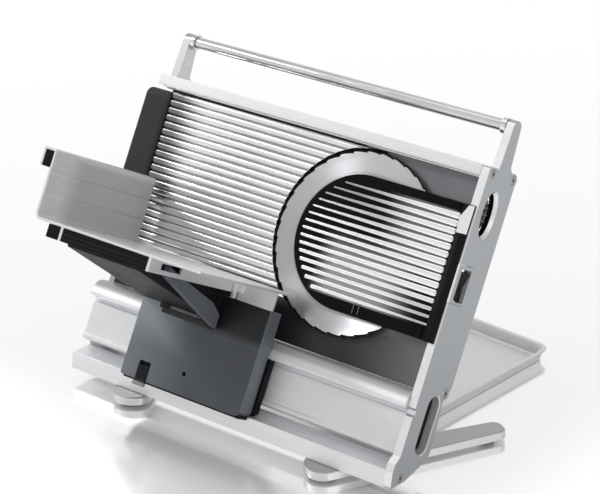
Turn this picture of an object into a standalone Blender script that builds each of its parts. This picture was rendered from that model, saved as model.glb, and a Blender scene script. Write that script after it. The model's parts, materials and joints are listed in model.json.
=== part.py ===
import math

import bmesh
import bpy
from mathutils import Matrix, Vector

GAP = 0.0003
OVERRUN = 0.004
SHARP = math.radians(35.0)
LEAN = math.radians(28.8)

# Where the blade's centre sits: sideways from the middle of the frame, back from the origin, above the table.
BLADE_X = 0.071
BLADE_Y = -0.0280
BLADE_Z = 0.177

# Panel pieces are drawn as (x, n, u): x along the machine, n out of the panel, u up the panel, from the blade's centre.
FRAME_RIGHT = 0.116
FRAME_LEFT = -0.258
PLATE_THICK = 0.008
PLATE_FRONT = 0.009
PLATE_REAR = -0.0405
PLATE_TOP = 0.0975
PLATE_SHOULDER = 0.099
PLATE_HEEL = -0.1925
CORNER = 0.002
SOFT_CORNER = 0.004

ARM_FOOT_FRONT = -0.0066
ARM_FOOT_REAR = -0.0252
ARM_FOOT_U = 0.1027
ARM_STEP = -0.005
ARM_END_RADIUS = 0.0066
BAR_N = -0.015
BAR_U = 0.137
BAR_RADIUS = 0.0055
COLLAR_RADIUS = 0.0076
COLLAR_WIDTH = 0.005

BOSS_RADIUS = 0.0062
TOP_BOSS_N = -0.0352
TOP_BOSS_U = 0.0935
LOW_BOSS_N = -0.0325
LOW_BOSS_U = -0.1015
WAIST_N = -0.0335
WAIST_U = -0.112
CALF_N = -0.0378
CALF_U = -0.147
ANKLE_N = -0.0372
ANKLE_U = -0.1606
ANKLE_RADIUS = 0.012
SOLE_N = -0.0097
SOLE_U = -0.1836
TOE_N = 0.0135
TOE_TOP_U = -0.1705
TOE_LOW_U = -0.1785
TOE_START_U = -0.163
NOTCH_TOP = -0.1195
NOTCH_LOW = -0.1275
NOTCH_DEPTH = 0.0025
NOTCH_SLOPE = 0.002

WINDOW_N = -0.0122
WINDOW_U = 0.0576
WINDOW_HALF_N = 0.009
WINDOW_HALF_U = 0.0195
WINDOW_BEVEL = 0.0027
WINDOW_BEVEL_DEPTH = 0.003
SLOT_FRONT = -0.010
SLOT_REAR = -0.028
SLOT_TOP = -0.1055
SLOT_LOW = -0.159

SCREW_HEAD_RADIUS = 0.0038
SCREW_HEAD_DEPTH = 0.0026
SCREW_PROUD = 0.0004
SCREW_SOCKET_RADIUS = 0.0021
SCREW_SOCKET_DEPTH = 0.0018
FRONT_SCREW_N = 0.0014
FRONT_SCREW_U = 0.093
BASE_SCREW_N = -0.0011
BASE_SCREW_U = -0.1814
LEFT_BASE_SCREW_N = -0.0215
LEFT_BASE_SCREW_U = -0.166

LEFT_TOP_FRONT = -0.0053
LEFT_RECESS_N = -0.027
LEFT_RECESS_TOP = 0.087
LEFT_RECESS_LOW = -0.066
LEFT_LOW_FRONT = -0.0083
LEFT_HEEL_TOP_N = -0.0083
LEFT_HEEL_TOP_U = -0.1665
LEFT_HEEL_LOW_N = -0.0150
LEFT_HEEL_LOW_U = -0.1802

TOP_RAIL_BACK = -0.005
TOP_RAIL_LOW = 0.088
TOP_RAIL_HIGH = 0.0988
RIDGE_WIDTH = 0.0016
RIDGE_HEIGHT = 0.0022
RIDGE_REAR_N = 0.0016
TOP_RAIL_LIP = 0.0012

GUIDE_BACK = -0.008
GUIDE_TOP = -0.1045
GUIDE_FACE = 0.0042
GUIDE_NOSE = 0.0132
GUIDE_NOSE_U = -0.117
GUIDE_NOSE_LOW = -0.1218
GUIDE_SHOULDER_N = 0.0035
GUIDE_SHOULDER_U = -0.1052
GUIDE_CROWN_N = 0.0082
GUIDE_CROWN_U = -0.1076
GUIDE_BROW_N = 0.0112
GUIDE_BROW_U = -0.1115
GUIDE_UNDER_N = 0.006
GUIDE_GROOVE_N = 0.0018
GUIDE_GROOVE_TOP = -0.1232
GUIDE_GROOVE_LOW = -0.1252
GUIDE_FACE_LOW = -0.1575
GUIDE_RIDGE_N = 0.0056
GUIDE_RIDGE_TOP = -0.1588
GUIDE_RIDGE_LOW = -0.1618
GUIDE_FOOT_N = 0.0005
GUIDE_FOOT_U = -0.1635
GUIDE_BACK_LOW = -0.1648

BASE_LOW = 0.0113
BASE_HIGH = 0.0268
BASE_FRONT_LOW_Y = -0.0994
BASE_FRONT_HIGH_Y = -0.0972
BASE_BACK_Y = -0.0746
BASE_LIP_WIDTH = 0.0016
BASE_LIP_HEIGHT = 0.0013
BASE_GROOVE_Y = -0.0945
BASE_GROOVE_DEPTH = 0.0006

PANEL_FRONT = -0.005
PANEL_BACK = -0.0062
PANEL_LEFT = -0.0185
PANEL_TOP = 0.0876
PANEL_LOW = -0.1041
PANEL_STRIP_TOP = -0.066
PANEL_BAND_LOW = 0.0850
PANEL_HUB_HOLE = 0.0268

BLADE_RADIUS = 0.085
TOOTH_DEPTH = 0.0016
TEETH = 36
TOOTH_SHARES = (0.0, 0.10, 0.28, 0.46, 0.64, 0.82)
TOOTH_HEIGHT_SHARES = (1.0, 0.0, 0.20, 0.44, 0.66, 0.85)
BLADE_EDGE = 0.0003
BLADE_GRIND_RADIUS = 0.0775
BLADE_GRIND_FRONT = -0.0009
BLADE_GRIND_BACK = -0.0032
BLADE_DISH_RADIUS = 0.0605
BLADE_DISH_FRONT = -0.0023
BLADE_DISH_BACK = -0.0042
BLADE_BORE = 0.011

HUB_RADIUS = 0.024
HUB_FRONT = -0.0045
HUB_BACK = -0.0085
HUB_SPIGOT_RADIUS = 0.0106
HUB_SPIGOT_FRONT = -0.0026
SHAFT_RADIUS = 0.005
SHAFT_BACK = -0.048
BEARING_LEFT = -0.0332
BEARING_RIGHT = 0.02
BEARING_HALF = 0.016
BEARING_FRONT = -0.011
BEARING_BACK = -0.022
WHEEL_TEETH = 30
WHEEL_TIP = 0.0268
WHEEL_ROOT = 0.0246
WHEEL_FRONT = -0.031
WHEEL_BACK = -0.041
WORM_X = 0.0355
WORM_N = -0.036
WORM_TIP = 0.0082
WORM_ROOT = 0.0058
WORM_HALF = 0.0125
WORM_SHAFT_RADIUS = 0.003
WORM_SHAFT_TOP = 0.017
MOTOR_RADIUS = 0.02
MOTOR_TOP = -0.034
MOTOR_CAP = 0.008
MOTOR_RIB = 0.0012

HOUSING_LEFT = -0.036
HOUSING_RIGHT = 0.062
HOUSING_LOW = -0.086
HOUSING_TOP = 0.036
HOUSING_FRONT = -0.0065
HOUSING_BACK = -0.068
HOUSING_WALL = 0.0025
HOUSING_CORNER = 0.006
VENT_COUNT = 6
VENT_LEFT = -0.012
VENT_PITCH = 0.01
VENT_WIDTH = 0.004
VENT_LOW = -0.066
VENT_TOP = -0.03

COVER_RADIUS = 0.062
COVER_BACK = 0.0004
COVER_FRONT = 0.0024
COVER_FLAT_RIGHT = 0.0975
COVER_RAMP_TOP_X = 0.1065
COVER_UNDER_X = 0.0989
COVER_UNDER_TOP_X = 0.1074
COVER_UNDER_TOP_N = 0.0084
COVER_FLANGE_BACK = 0.0093
COVER_FLANGE_FRONT = 0.0105
COVER_EDGE_X = 0.1140
COVER_TAB_LEFT = 0.1032
COVER_TAB_RIGHT = 0.1134
COVER_TAB_LOW = 0.0355
COVER_TAB_TOP = 0.0610
COVER_TAB_THICK = 0.0006
COVER_BOSS_RADIUS = 0.058
COVER_BOSS_BACK = -0.0017
RIB_PITCH = 0.007
COVER_RIB_FIRST = -0.048
COVER_RIB_LAST = 0.0505
COVER_RIB_LEFT_RADIUS = 0.055
COVER_RIB_RIGHT = 0.0988
RIB_HALF = 0.0026
RIB_HEIGHT = 0.0014
RIB_HALF_SHARES = (1.0, 0.86, 0.45)
RIB_HEIGHT_SHARES = (-0.2, 0.62, 1.0)
LATCH_X = 0.0241
LATCH_INSET = 0.0066
LATCH_HALF_X = 0.0028
LATCH_HALF_U = 0.0044
LATCH_FRONT = 0.0032

GAUGE_INSET = 0.014
GAUGE_LEFT = FRAME_LEFT + GAUGE_INSET
GAUGE_RIGHT = -0.010
GAUGE_TOP = 0.0846
GAUGE_LOW = -0.0615
GAUGE_BACK = -0.0032
GAUGE_VALLEY = -0.0014
GAUGE_CREST = 0.0
GAUGE_RIB_FIRST = 0.082
GAUGE_BLADE_GAP = 0.0018
GRIP_WIDTH = 0.0312
GRIP_LEFT = GAUGE_LEFT - GRIP_WIDTH
GRIP_FRONT = 0.0012
GRIP_BACK = -0.005
GRIP_CORNER = 0.007
GRIP_BEVEL = 0.0013
ROD_INSET = 0.026
ROD_X = FRAME_LEFT + ROD_INSET
ROD_LOW_U = 0.034
ROD_HIGH_U = 0.058
ROD_RADIUS = 0.004
ROD_BACK = -0.041
BLOCK_REACH = 0.036
BLOCK_RIGHT = FRAME_LEFT + BLOCK_REACH
BLOCK_LOW = 0.024
BLOCK_TOP = 0.068
BLOCK_FRONT = -0.0285
BLOCK_BACK = -0.040
CARRIER_FRONT = -0.0413
CARRIER_BACK = -0.0463
CARRIER_INSET = 0.016
CARRIER_LEFT = FRAME_LEFT + CARRIER_INSET
CARRIER_PAD_LOW = 0.028
CARRIER_PAD_TOP = 0.064
CARRIER_BAR_LOW = 0.041
CARRIER_BAR_TOP = 0.053
CARRIER_RIGHT = 0.092
CARRIER_NUT_LEFT = 0.072
CARRIER_NUT_LOW = 0.047
CARRIER_NUT_TOP = 0.068

KNOB_X = 0.082
KNOB_U = 0.0576
KNOB_RADIUS = 0.0301
KNOB_ROOT = 0.0288
KNOB_RIBS = 36
KNOB_SHARES = (0.0, 0.3, 0.5, 0.7)
KNOB_HEIGHT_SHARES = (0.85, 0.35, 0.0, 0.35)
KNOB_FRONT = -0.0072
KNOB_BACK = -0.0172
KNOB_BEVEL = 0.0012
SPINDLE_RADIUS = 0.004
SPINDLE_FLANGE = 0.008
SPINDLE_FLANGE_BACK = -0.0203
SPINDLE_BACK = -0.068
BRACKET_FRONT = -0.0207
BRACKET_BACK = -0.0265
BRACKET_LEFT = 0.072
BRACKET_LOW = 0.047
BRACKET_TOP = 0.068

SWITCH_REAR = -0.0147
SWITCH_LOW = -0.0245
SWITCH_TOP = 0.0108
BEZEL_PROUD = 0.0007
BEZEL_BACK_X = 0.1083
BEZEL_FRONT = 0.0089
BEZEL_NOSE_X = 0.1144
BEZEL_NOSE_FRONT = 0.0101
BEZEL_NOSE_BACK = 0.006
BEZEL_OPEN_REAR = -0.0132
BEZEL_OPEN_FRONT = 0.0042
BEZEL_OPEN_LOW = -0.0222
BEZEL_OPEN_TOP = 0.0069
ROCKER_PIVOT_X = 0.1065
ROCKER_FACE_X = 0.1146
ROCKER_DIP = 0.0024
ROCKER_BACK_X = 0.1050
ROCKER_WAIST = 0.007
ROCKER_HALF = 0.0131
ROCKER_TILT = math.radians(-7.0)
ROCKER_SIDE_X = 0.1092
PANEL_SWITCH_LEFT = 0.1015
PANEL_SWITCH_ROOM = 0.0015

CAR_LEFT = -0.183
CAR_RIGHT = -0.042
CAR_LOW = -0.1785
CAR_TOP = -0.1025
CAR_FRONT = 0.031
CAR_WALL = 0.002
CAR_BACK = 0.0137
CAR_RECESS_LEFT = -0.162
CAR_RECESS_RIGHT = -0.097
CAR_RECESS_U = -0.1085
CAR_TOWER_TOP = -0.0798
CAR_CORNER = 0.007
LOCK_LEFT = -0.165
LOCK_RIGHT = -0.1525
LOCK_LOW = -0.1785
LOCK_HEIGHT = 0.014
LOCK_FOOT_LOW = -0.1835
LOCK_FRONT = 0.0318
LOCK_BACK = 0.0293
DOT_X = -0.1133
DOT_U = -0.1591
DOT_RADIUS = 0.0021
GLIDE_LEFT = -0.1852
GLIDE_RIGHT = -0.0393
GLIDE_TOP = -0.1115
GLIDE_SLAB_TOP = -0.1221
GLIDE_BACK = 0.006
GLIDE_STEP = 0.0134
GLIDE_FRONT = 0.0287
GLIDE_LOW = -0.1802
GLIDE_LOW_BACK = -0.1722
GLIDE_LOW_STEP = -0.1754
GLIDE_LOW_STEP_N = 0.0139

ARM_LEFT = -0.183
ARM_RIGHT = -0.1
ARM_INNER = 0.0313
ARM_OUTER = 0.158
ARM_INNER_LOW = -0.1045
ARM_OUTER_LOW = -0.0765
ARM_SHEET = 0.003
ARM_TOP = -0.0626
STRUT_REACH = 0.008
STRUT_INNER = 0.0345
STRUT_HEEL_U = -0.1108
STRUT_TOE_U = -0.0976
STRUT_KNEE_N = 0.0488
STRUT_KNEE_U = -0.0881
STRUT_NECK_N = 0.0915
STRUT_NECK_U = -0.0764
STRUT_OUTER = 0.126
STRUT_OUTER_U = -0.0760
STRUT_TOP = -0.0660
HOOK_LEFT = -0.156
HOOK_RIGHT = -0.0995
HOOK_LOW = -0.1125
HOOK_TOP = -0.1076
HOOK_FRONT = 0.0345

TABLE_TOP = -0.06
TABLE_THICK = 0.0022
TABLE_RIGHT = -0.0345
TABLE_INNER = 0.0112
TABLE_OUTER = 0.16
WALL_X = -0.2245
WALL_THICK = 0.0024
WALL_TOP = 0.002
WALL_BEND = 0.004
GRIP_REACH = 0.0145
GRIP_DROP = 0.0175
WALL_GROOVES = (-0.0195, -0.039)
WALL_GROOVE_HALF = 0.0011
WALL_GROOVE_DEPTH = 0.0007
LEG_LOW = -0.0745
LEG_THICK = 0.003
LEG_LEFT = -0.194
LEG_RIGHT_X = -0.0915
LEG_SLOT_OUTER = 0.143
LEG_SLOT_INNER = 0.113
LEG_SLOT_TOP = -0.0648
LEG_SLOT_LOW = -0.0705
CAP_DEPTH = 0.006
CAP_PROUD = 0.0006
STRIP_LOW = -0.0745
STRIP_BACK = 0.1585
STRIP_FRONT = 0.1605
STRIP_GROOVE_HALF = 0.0008
STRIP_GROOVE_DEPTH = 0.0008
STRIP_GROOVES = (-0.0668, -0.0705)
END_LEFT = -0.2085
END_INNER = 0.146
SUPPORT_LEFT = -0.082
SUPPORT_BACK = 0.0275
CLASP_LEFT = -0.0882
CLASP_RIGHT = -0.0842
CLASP_INNER = 0.014
CLASP_STEP = 0.0255
CLASP_OUTER = 0.0335
CLASP_LOW = -0.0745
CLASP_FOOT = -0.0795

FOOT_LOW = 0.003
FOOT_HIGH = 0.011
FOOT_HALF_FRONT = 0.0195
FOOT_HALF_REAR = 0.0108
FOOT_FRONT = -0.0998
FOOT_REAR = 0.0945
FOOT_CORNER_FRONT = 0.0165
FOOT_CORNER_REAR = 0.0085
FOOT_SPLAY = math.radians(29.4)
FOOT_X = 0.0812
FOOT_Y = -0.0248
FOOT_TOP_BEVEL = 0.001
FRAME_MIDDLE = (FRAME_LEFT + FRAME_RIGHT) / 2
PAD_FRONT_RADIUS = 0.0125
PAD_REAR_RADIUS = 0.0072
PAD_INSET = 0.0165

TRAY_TURN = math.radians(-4.3)
TRAY_CORNER_X = 0.0795
TRAY_CORNER_Y = 0.2155
TRAY_WIDTH = 0.242
TRAY_DEPTH = 0.19
TRAY_HEIGHT = 0.012
TRAY_SHEET = 0.0012
TRAY_RADIUS = 0.014
TRAY_SLOPE = 0.004
TRAY_RIM = 0.0028
TRAY_LIFT = 0.0004

ARC_STEPS = 5
ROUND = 40
FINE_ROUND = 96

PANEL = Matrix.Translation((BLADE_X, BLADE_Y, BLADE_Z)) @ Matrix.Rotation(-LEAN, 4, "X")
LEVEL = Matrix.Translation((BLADE_X, BLADE_Y, 0))


def clear_scene():
    for obj in list(bpy.data.objects):
        bpy.data.objects.remove(obj, do_unlink=True)
    for mesh in list(bpy.data.meshes):
        bpy.data.meshes.remove(mesh)


def make_material(name, color, metallic, roughness, coat=0.0):
    material = bpy.data.materials.new(name)
    material.use_nodes = True
    shader = material.node_tree.nodes["Principled BSDF"]
    shader.inputs["Base Color"].default_value = (*color, 1)
    shader.inputs["Metallic"].default_value = metallic
    shader.inputs["Roughness"].default_value = roughness
    shader.inputs["Coat Weight"].default_value = coat
    material.diffuse_color = (*color, 1)
    return material


def axis_point(axis, a, b, depth):
    if axis == "x":
        return Vector((depth, -a, b))
    if axis == "n":
        return Vector((a, -depth, b))
    if axis == "u":
        return Vector((a, -b, depth))
    if axis == "side":
        return Vector((depth, a, b))
    return Vector((a, b, depth))


def rings_mesh(rings):
    mesh = bmesh.new()
    rows = [[mesh.verts.new(point) for point in ring] for ring in rings]
    count = len(rows[0])
    for low, high in zip(rows, rows[1:]):
        for i in range(count):
            j = (i + 1) % count
            mesh.faces.new((low[i], low[j], high[j], high[i]))
    mesh.faces.new(list(reversed(rows[0])))
    mesh.faces.new(rows[-1])
    bmesh.ops.recalc_face_normals(mesh, faces=mesh.faces)
    return mesh


def prism(axis, outline, low, high):
    return rings_mesh([[axis_point(axis, a, b, depth) for a, b in outline] for depth in (low, high)])


def box(x0, x1, n0, n1, u0, u1):
    return prism("n", [(x0, u0), (x1, u0), (x1, u1), (x0, u1)], n0, n1)


def circle(a, b, radius, count=ROUND, stretch=1.0):
    turns = [2 * math.pi * i / count for i in range(count)]
    return [(a + radius * math.cos(t), b + radius * stretch * math.sin(t)) for t in turns]


def arc(a, b, radius, start, end, steps=ARC_STEPS):
    turns = [start + (end - start) * i / steps for i in range(steps + 1)]
    return [(a + radius * math.cos(t), b + radius * math.sin(t)) for t in turns]


def rounded(corners, steps=ARC_STEPS):
    points = []
    for index, (a, b, radius) in enumerate(corners):
        here = Vector((a, b))
        if not radius:
            points.append((a, b))
            continue
        before = (Vector(corners[index - 1][:2]) - here).normalized()
        after = (Vector(corners[(index + 1) % len(corners)][:2]) - here).normalized()
        half = before.angle(after) / 2
        reach = radius / math.tan(half)
        middle = here + (before + after).normalized() * radius / math.sin(half)
        first = here + before * reach - middle
        last = here + after * reach - middle
        swing = first.angle_signed(last)
        for i in range(steps + 1):
            spoke = first.copy()
            spoke.rotate(Matrix.Rotation(-swing * i / steps, 2))
            points.append(tuple(middle + spoke))
    return points


def stack(axis, sections):
    return rings_mesh([[axis_point(axis, a, b, depth) for a, b in outline] for outline, depth in sections])


def turned(axis, a, b, profile, count=ROUND):
    return stack(axis, [(circle(a, b, radius, count), depth) for radius, depth in profile])


def node(name, mesh, material, frame, origin=(0, 0, 0)):
    spot = Vector((origin[0], -origin[1], origin[2])) if frame is PANEL else Vector(origin)
    bmesh.ops.translate(mesh, verts=mesh.verts, vec=-spot)
    data = bpy.data.meshes.new(name)
    mesh.to_mesh(data)
    mesh.free()
    data.shade_smooth()
    data.set_sharp_from_angle(angle=SHARP)
    obj = bpy.data.objects.new(name, data)
    obj.matrix_world = frame @ Matrix.Translation(spot)
    obj.data.materials.append(material)
    bpy.context.scene.collection.objects.link(obj)
    return obj


def combine(obj, mesh, operation, frame=PANEL):
    tool = node(f"{obj.name}_{operation.lower()}_{len(obj.modifiers)}", mesh, obj.data.materials[0], frame)
    tool.hide_render = True
    tool.display_type = "WIRE"
    modifier = obj.modifiers.new(operation.title(), "BOOLEAN")
    modifier.operation = operation
    modifier.solver = "EXACT"
    modifier.object = tool


def cut(obj, mesh, frame=PANEL):
    combine(obj, mesh, "DIFFERENCE", frame)


def join(obj, mesh, frame=PANEL):
    combine(obj, mesh, "UNION", frame)


def arm_outline():
    tip = arc(BAR_N, BAR_U, ARM_END_RADIUS, 0, math.pi, 2 * ARC_STEPS)
    side = [(ARM_FOOT_FRONT, ARM_FOOT_U)] + tip + [(ARM_FOOT_REAR, ARM_FOOT_U)]
    boss = arc(TOP_BOSS_N, TOP_BOSS_U, BOSS_RADIUS, math.radians(48), math.radians(190), ARC_STEPS)
    return side + boss


def rear_outline():
    low_boss = arc(LOW_BOSS_N, LOW_BOSS_U, BOSS_RADIUS, math.radians(165), math.radians(262), ARC_STEPS)
    leg = rounded(
        [
            (LOW_BOSS_N, LOW_BOSS_U, 0),
            (WAIST_N, WAIST_U, 0),
            (CALF_N, CALF_U, SOFT_CORNER),
            (ANKLE_N, ANKLE_U, ANKLE_RADIUS),
            (SOLE_N, SOLE_U, SOFT_CORNER),
        ]
    )
    rear = [(PLATE_REAR, TOP_BOSS_U - BOSS_RADIUS), (PLATE_REAR, LOW_BOSS_U + BOSS_RADIUS)]
    return rear + low_boss, leg[1:]


def right_plate_outline():
    rear, leg = rear_outline()
    heel = leg[:-ARC_STEPS - 1]
    front = rounded(
        [
            (SOLE_N, SOLE_U, SOFT_CORNER),
            (PLATE_FRONT, PLATE_HEEL, CORNER),
            (TOE_N, TOE_LOW_U, SOFT_CORNER),
            (TOE_N, TOE_TOP_U, CORNER),
            (PLATE_FRONT, TOE_START_U, 0),
            (PLATE_FRONT, NOTCH_LOW, 0),
            (PLATE_FRONT - NOTCH_DEPTH, NOTCH_LOW + NOTCH_SLOPE, 0),
            (PLATE_FRONT - NOTCH_DEPTH, NOTCH_TOP - NOTCH_SLOPE, 0),
            (PLATE_FRONT, NOTCH_TOP, 0),
            (PLATE_FRONT, PLATE_TOP, CORNER),
            (ARM_STEP, PLATE_SHOULDER, CORNER),
            (ANKLE_N, ANKLE_U, 0),
        ]
    )
    return front[:-1] + arm_outline() + rear + heel


def left_plate_outline():
    rear, leg = rear_outline()
    heel = leg[:-ARC_STEPS - 1]
    front = [
        (LEFT_HEEL_LOW_N, LEFT_HEEL_LOW_U),
        (LEFT_HEEL_TOP_N, LEFT_HEEL_TOP_U),
        (LEFT_LOW_FRONT, LEFT_RECESS_LOW - SOFT_CORNER),
        (LEFT_RECESS_N, LEFT_RECESS_LOW),
        (LEFT_RECESS_N, LEFT_RECESS_TOP),
        (LEFT_TOP_FRONT, LEFT_RECESS_TOP),
        (LEFT_TOP_FRONT, PLATE_SHOULDER),
    ]
    return front + arm_outline() + rear + heel


def window_cut(outer_x, inward):
    shape = WINDOW_HALF_U / WINDOW_HALF_N
    wide = (WINDOW_HALF_U + WINDOW_BEVEL) / (WINDOW_HALF_N + WINDOW_BEVEL)
    inner = circle(WINDOW_N, WINDOW_U, WINDOW_HALF_N, ROUND, shape)
    outer = circle(WINDOW_N, WINDOW_U, WINDOW_HALF_N + WINDOW_BEVEL, ROUND, wide)
    reach = PLATE_THICK + OVERRUN
    return stack(
        "x",
        [
            (inner, outer_x - inward * reach),
            (inner, outer_x - inward * WINDOW_BEVEL_DEPTH),
            (outer, outer_x),
            (outer, outer_x + inward * OVERRUN),
        ],
    )


def slot_cut(outer_x, inward):
    radius = (SLOT_FRONT - SLOT_REAR) / 2
    middle = (SLOT_FRONT + SLOT_REAR) / 2
    outline = arc(middle, SLOT_TOP - radius, radius, 0, math.pi, 2 * ARC_STEPS)
    outline += arc(middle, SLOT_LOW + radius, radius, math.pi, 2 * math.pi, 2 * ARC_STEPS)
    return prism("x", outline, outer_x - inward * (PLATE_THICK + OVERRUN), outer_x + inward * OVERRUN)


def screw_places(side):
    base = (BASE_SCREW_N, BASE_SCREW_U) if side == "right" else (LEFT_BASE_SCREW_N, LEFT_BASE_SCREW_U)
    front = (FRONT_SCREW_N, FRONT_SCREW_U) if side == "right" else (TOP_BOSS_N + ANKLE_RADIUS, FRONT_SCREW_U)
    return {
        "front": front,
        "rear": (TOP_BOSS_N, TOP_BOSS_U),
        "low": (LOW_BOSS_N, LOW_BOSS_U),
        "base": base,
    }


def side_plate(side, outline, outer_x, inward, metal):
    inner_x = outer_x - inward * PLATE_THICK
    plate = node(f"side_plate_{side}", prism("x", outline, inner_x, outer_x), metal, PANEL)
    cut(plate, slot_cut(outer_x, inward))
    for n, u in screw_places(side).values():
        hole = circle(n, u, SCREW_HEAD_RADIUS + GAP, ROUND // 2)
        cut(plate, prism("x", hole, outer_x - inward * (SCREW_HEAD_DEPTH + GAP), outer_x + inward * OVERRUN))
    return plate


def side_plates(metal):
    right = side_plate("right", right_plate_outline(), FRAME_RIGHT, 1, metal)
    cut(right, window_cut(FRAME_RIGHT, 1))
    reach = PLATE_THICK + OVERRUN
    cut(
        right,
        box(
            FRAME_RIGHT - reach,
            FRAME_RIGHT + reach,
            SWITCH_REAR,
            PLATE_FRONT + OVERRUN,
            SWITCH_LOW,
            SWITCH_TOP,
        ),
    )
    side_plate("left", left_plate_outline(), FRAME_LEFT, -1, metal)


def side_screws(steel):
    for side, outer_x, inward in (("right", FRAME_RIGHT, 1), ("left", FRAME_LEFT, -1)):
        for place, (n, u) in screw_places(side).items():
            head = circle(n, u, SCREW_HEAD_RADIUS, ROUND // 2)
            top = outer_x + inward * SCREW_PROUD
            screw = node(
                f"screw_{side}_{place}",
                prism("x", head, outer_x - inward * SCREW_HEAD_DEPTH, top),
                steel,
                PANEL,
            )
            socket = circle(n, u, SCREW_SOCKET_RADIUS, 6)
            cut(screw, prism("x", socket, top - inward * SCREW_SOCKET_DEPTH, top + inward * OVERRUN))


def carry_bar(metal, dark):
    left = FRAME_LEFT + PLATE_THICK + GAP
    right = FRAME_RIGHT - PLATE_THICK - GAP
    node("carry_bar", prism("x", circle(BAR_N, BAR_U, BAR_RADIUS), left, right), metal, PANEL)
    for side, start in (("left", left), ("right", right - COLLAR_WIDTH)):
        ring = node(
            f"bar_collar_{side}",
            prism("x", circle(BAR_N, BAR_U, COLLAR_RADIUS), start, start + COLLAR_WIDTH),
            dark,
            PANEL,
        )
        hole = circle(BAR_N, BAR_U, BAR_RADIUS + GAP)
        cut(ring, prism("x", hole, start - OVERRUN, start + COLLAR_WIDTH + OVERRUN))


def top_rail(metal):
    floor = TOP_RAIL_HIGH - RIDGE_HEIGHT
    outline = [
        (TOP_RAIL_BACK, TOP_RAIL_LOW),
        (PLATE_FRONT - TOP_RAIL_LIP, TOP_RAIL_LOW),
        (PLATE_FRONT, TOP_RAIL_LOW + TOP_RAIL_LIP),
        (PLATE_FRONT, TOP_RAIL_HIGH),
        (PLATE_FRONT - RIDGE_WIDTH, TOP_RAIL_HIGH),
        (PLATE_FRONT - RIDGE_WIDTH, floor),
        (RIDGE_REAR_N, floor),
        (RIDGE_REAR_N, TOP_RAIL_HIGH),
        (RIDGE_REAR_N - RIDGE_WIDTH, TOP_RAIL_HIGH),
        (RIDGE_REAR_N - RIDGE_WIDTH, floor),
        (TOP_RAIL_BACK, floor),
    ]
    right = FRAME_RIGHT - PLATE_THICK - GAP
    node("top_rail", prism("x", outline, FRAME_LEFT, right), metal, PANEL)


def guide_rail(metal):
    outline = [
        (GUIDE_BACK, GUIDE_TOP),
        (GUIDE_SHOULDER_N, GUIDE_SHOULDER_U),
        (GUIDE_CROWN_N, GUIDE_CROWN_U),
        (GUIDE_BROW_N, GUIDE_BROW_U),
        (GUIDE_NOSE, GUIDE_NOSE_U),
        (GUIDE_NOSE, GUIDE_NOSE_LOW + TOP_RAIL_LIP),
        (GUIDE_NOSE - TOP_RAIL_LIP, GUIDE_NOSE_LOW),
        (GUIDE_UNDER_N, GUIDE_NOSE_LOW),
        (GUIDE_GROOVE_N, GUIDE_GROOVE_TOP),
        (GUIDE_GROOVE_N, GUIDE_GROOVE_LOW),
        (GUIDE_FACE, GUIDE_GROOVE_LOW - TOP_RAIL_LIP),
        (GUIDE_FACE, GUIDE_FACE_LOW),
        (GUIDE_RIDGE_N, GUIDE_RIDGE_TOP),
        (GUIDE_RIDGE_N, GUIDE_RIDGE_LOW),
        (GUIDE_FOOT_N, GUIDE_FOOT_U),
        (GUIDE_BACK, GUIDE_BACK_LOW),
    ]
    right = FRAME_RIGHT - PLATE_THICK - GAP
    node("guide_rail", prism("x", outline, FRAME_LEFT, right), metal, PANEL)


def base_rail(metal):
    lip_back = BASE_FRONT_HIGH_Y + BASE_LIP_WIDTH
    outline = [
        (BASE_FRONT_LOW_Y, BASE_LOW),
        (BASE_FRONT_HIGH_Y, BASE_HIGH),
        (BASE_FRONT_HIGH_Y, BASE_HIGH + BASE_LIP_HEIGHT),
        (lip_back, BASE_HIGH + BASE_LIP_HEIGHT),
        (lip_back, BASE_HIGH),
        (BASE_GROOVE_Y, BASE_HIGH - BASE_GROOVE_DEPTH),
        (BASE_BACK_Y, BASE_HIGH - BASE_GROOVE_DEPTH),
        (BASE_BACK_Y, BASE_LOW),
    ]
    right = FRAME_RIGHT - PLATE_THICK - GAP
    node("base_rail", prism("side", outline, FRAME_LEFT, right), metal, LEVEL)


def back_panel(grey):
    right = FRAME_RIGHT - PLATE_THICK - GAP
    left = FRAME_LEFT + PLATE_THICK + GAP
    outline = rounded(
        [
            (left, PANEL_LOW, 0),
            (right, PANEL_LOW, 0),
            (right, PANEL_TOP, 0),
            (left, PANEL_TOP, 0),
            (left, PANEL_BAND_LOW, 0),
            (PANEL_LEFT, PANEL_BAND_LOW, 0),
            (PANEL_LEFT, PANEL_STRIP_TOP, SOFT_CORNER),
            (left, PANEL_STRIP_TOP, SOFT_CORNER),
        ]
    )
    panel = node("back_panel", prism("n", outline, PANEL_BACK, PANEL_FRONT), grey, PANEL)
    low, high = PANEL_BACK - OVERRUN, PANEL_FRONT + OVERRUN
    cut(panel, prism("n", circle(0, 0, PANEL_HUB_HOLE), low, high))
    room = PANEL_SWITCH_ROOM
    edge = right + OVERRUN
    cut(panel, box(PANEL_SWITCH_LEFT, edge, low, high, SWITCH_LOW - room, SWITCH_TOP + room))


def tooth_ring(depth):
    ring = []
    for tooth in range(TEETH):
        for share, height in zip(TOOTH_SHARES, TOOTH_HEIGHT_SHARES):
            turn = 2 * math.pi * (tooth + share) / TEETH
            radius = BLADE_RADIUS - TOOTH_DEPTH * (1 - height)
            ring.append((radius * math.cos(turn), radius * math.sin(turn)))
    return ring, depth


def plain_ring(radius, depth):
    ring = []
    for tooth in range(TEETH):
        for share in TOOTH_SHARES:
            turn = 2 * math.pi * (tooth + share) / TEETH
            ring.append((radius * math.cos(turn), radius * math.sin(turn)))
    return ring, depth


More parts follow.
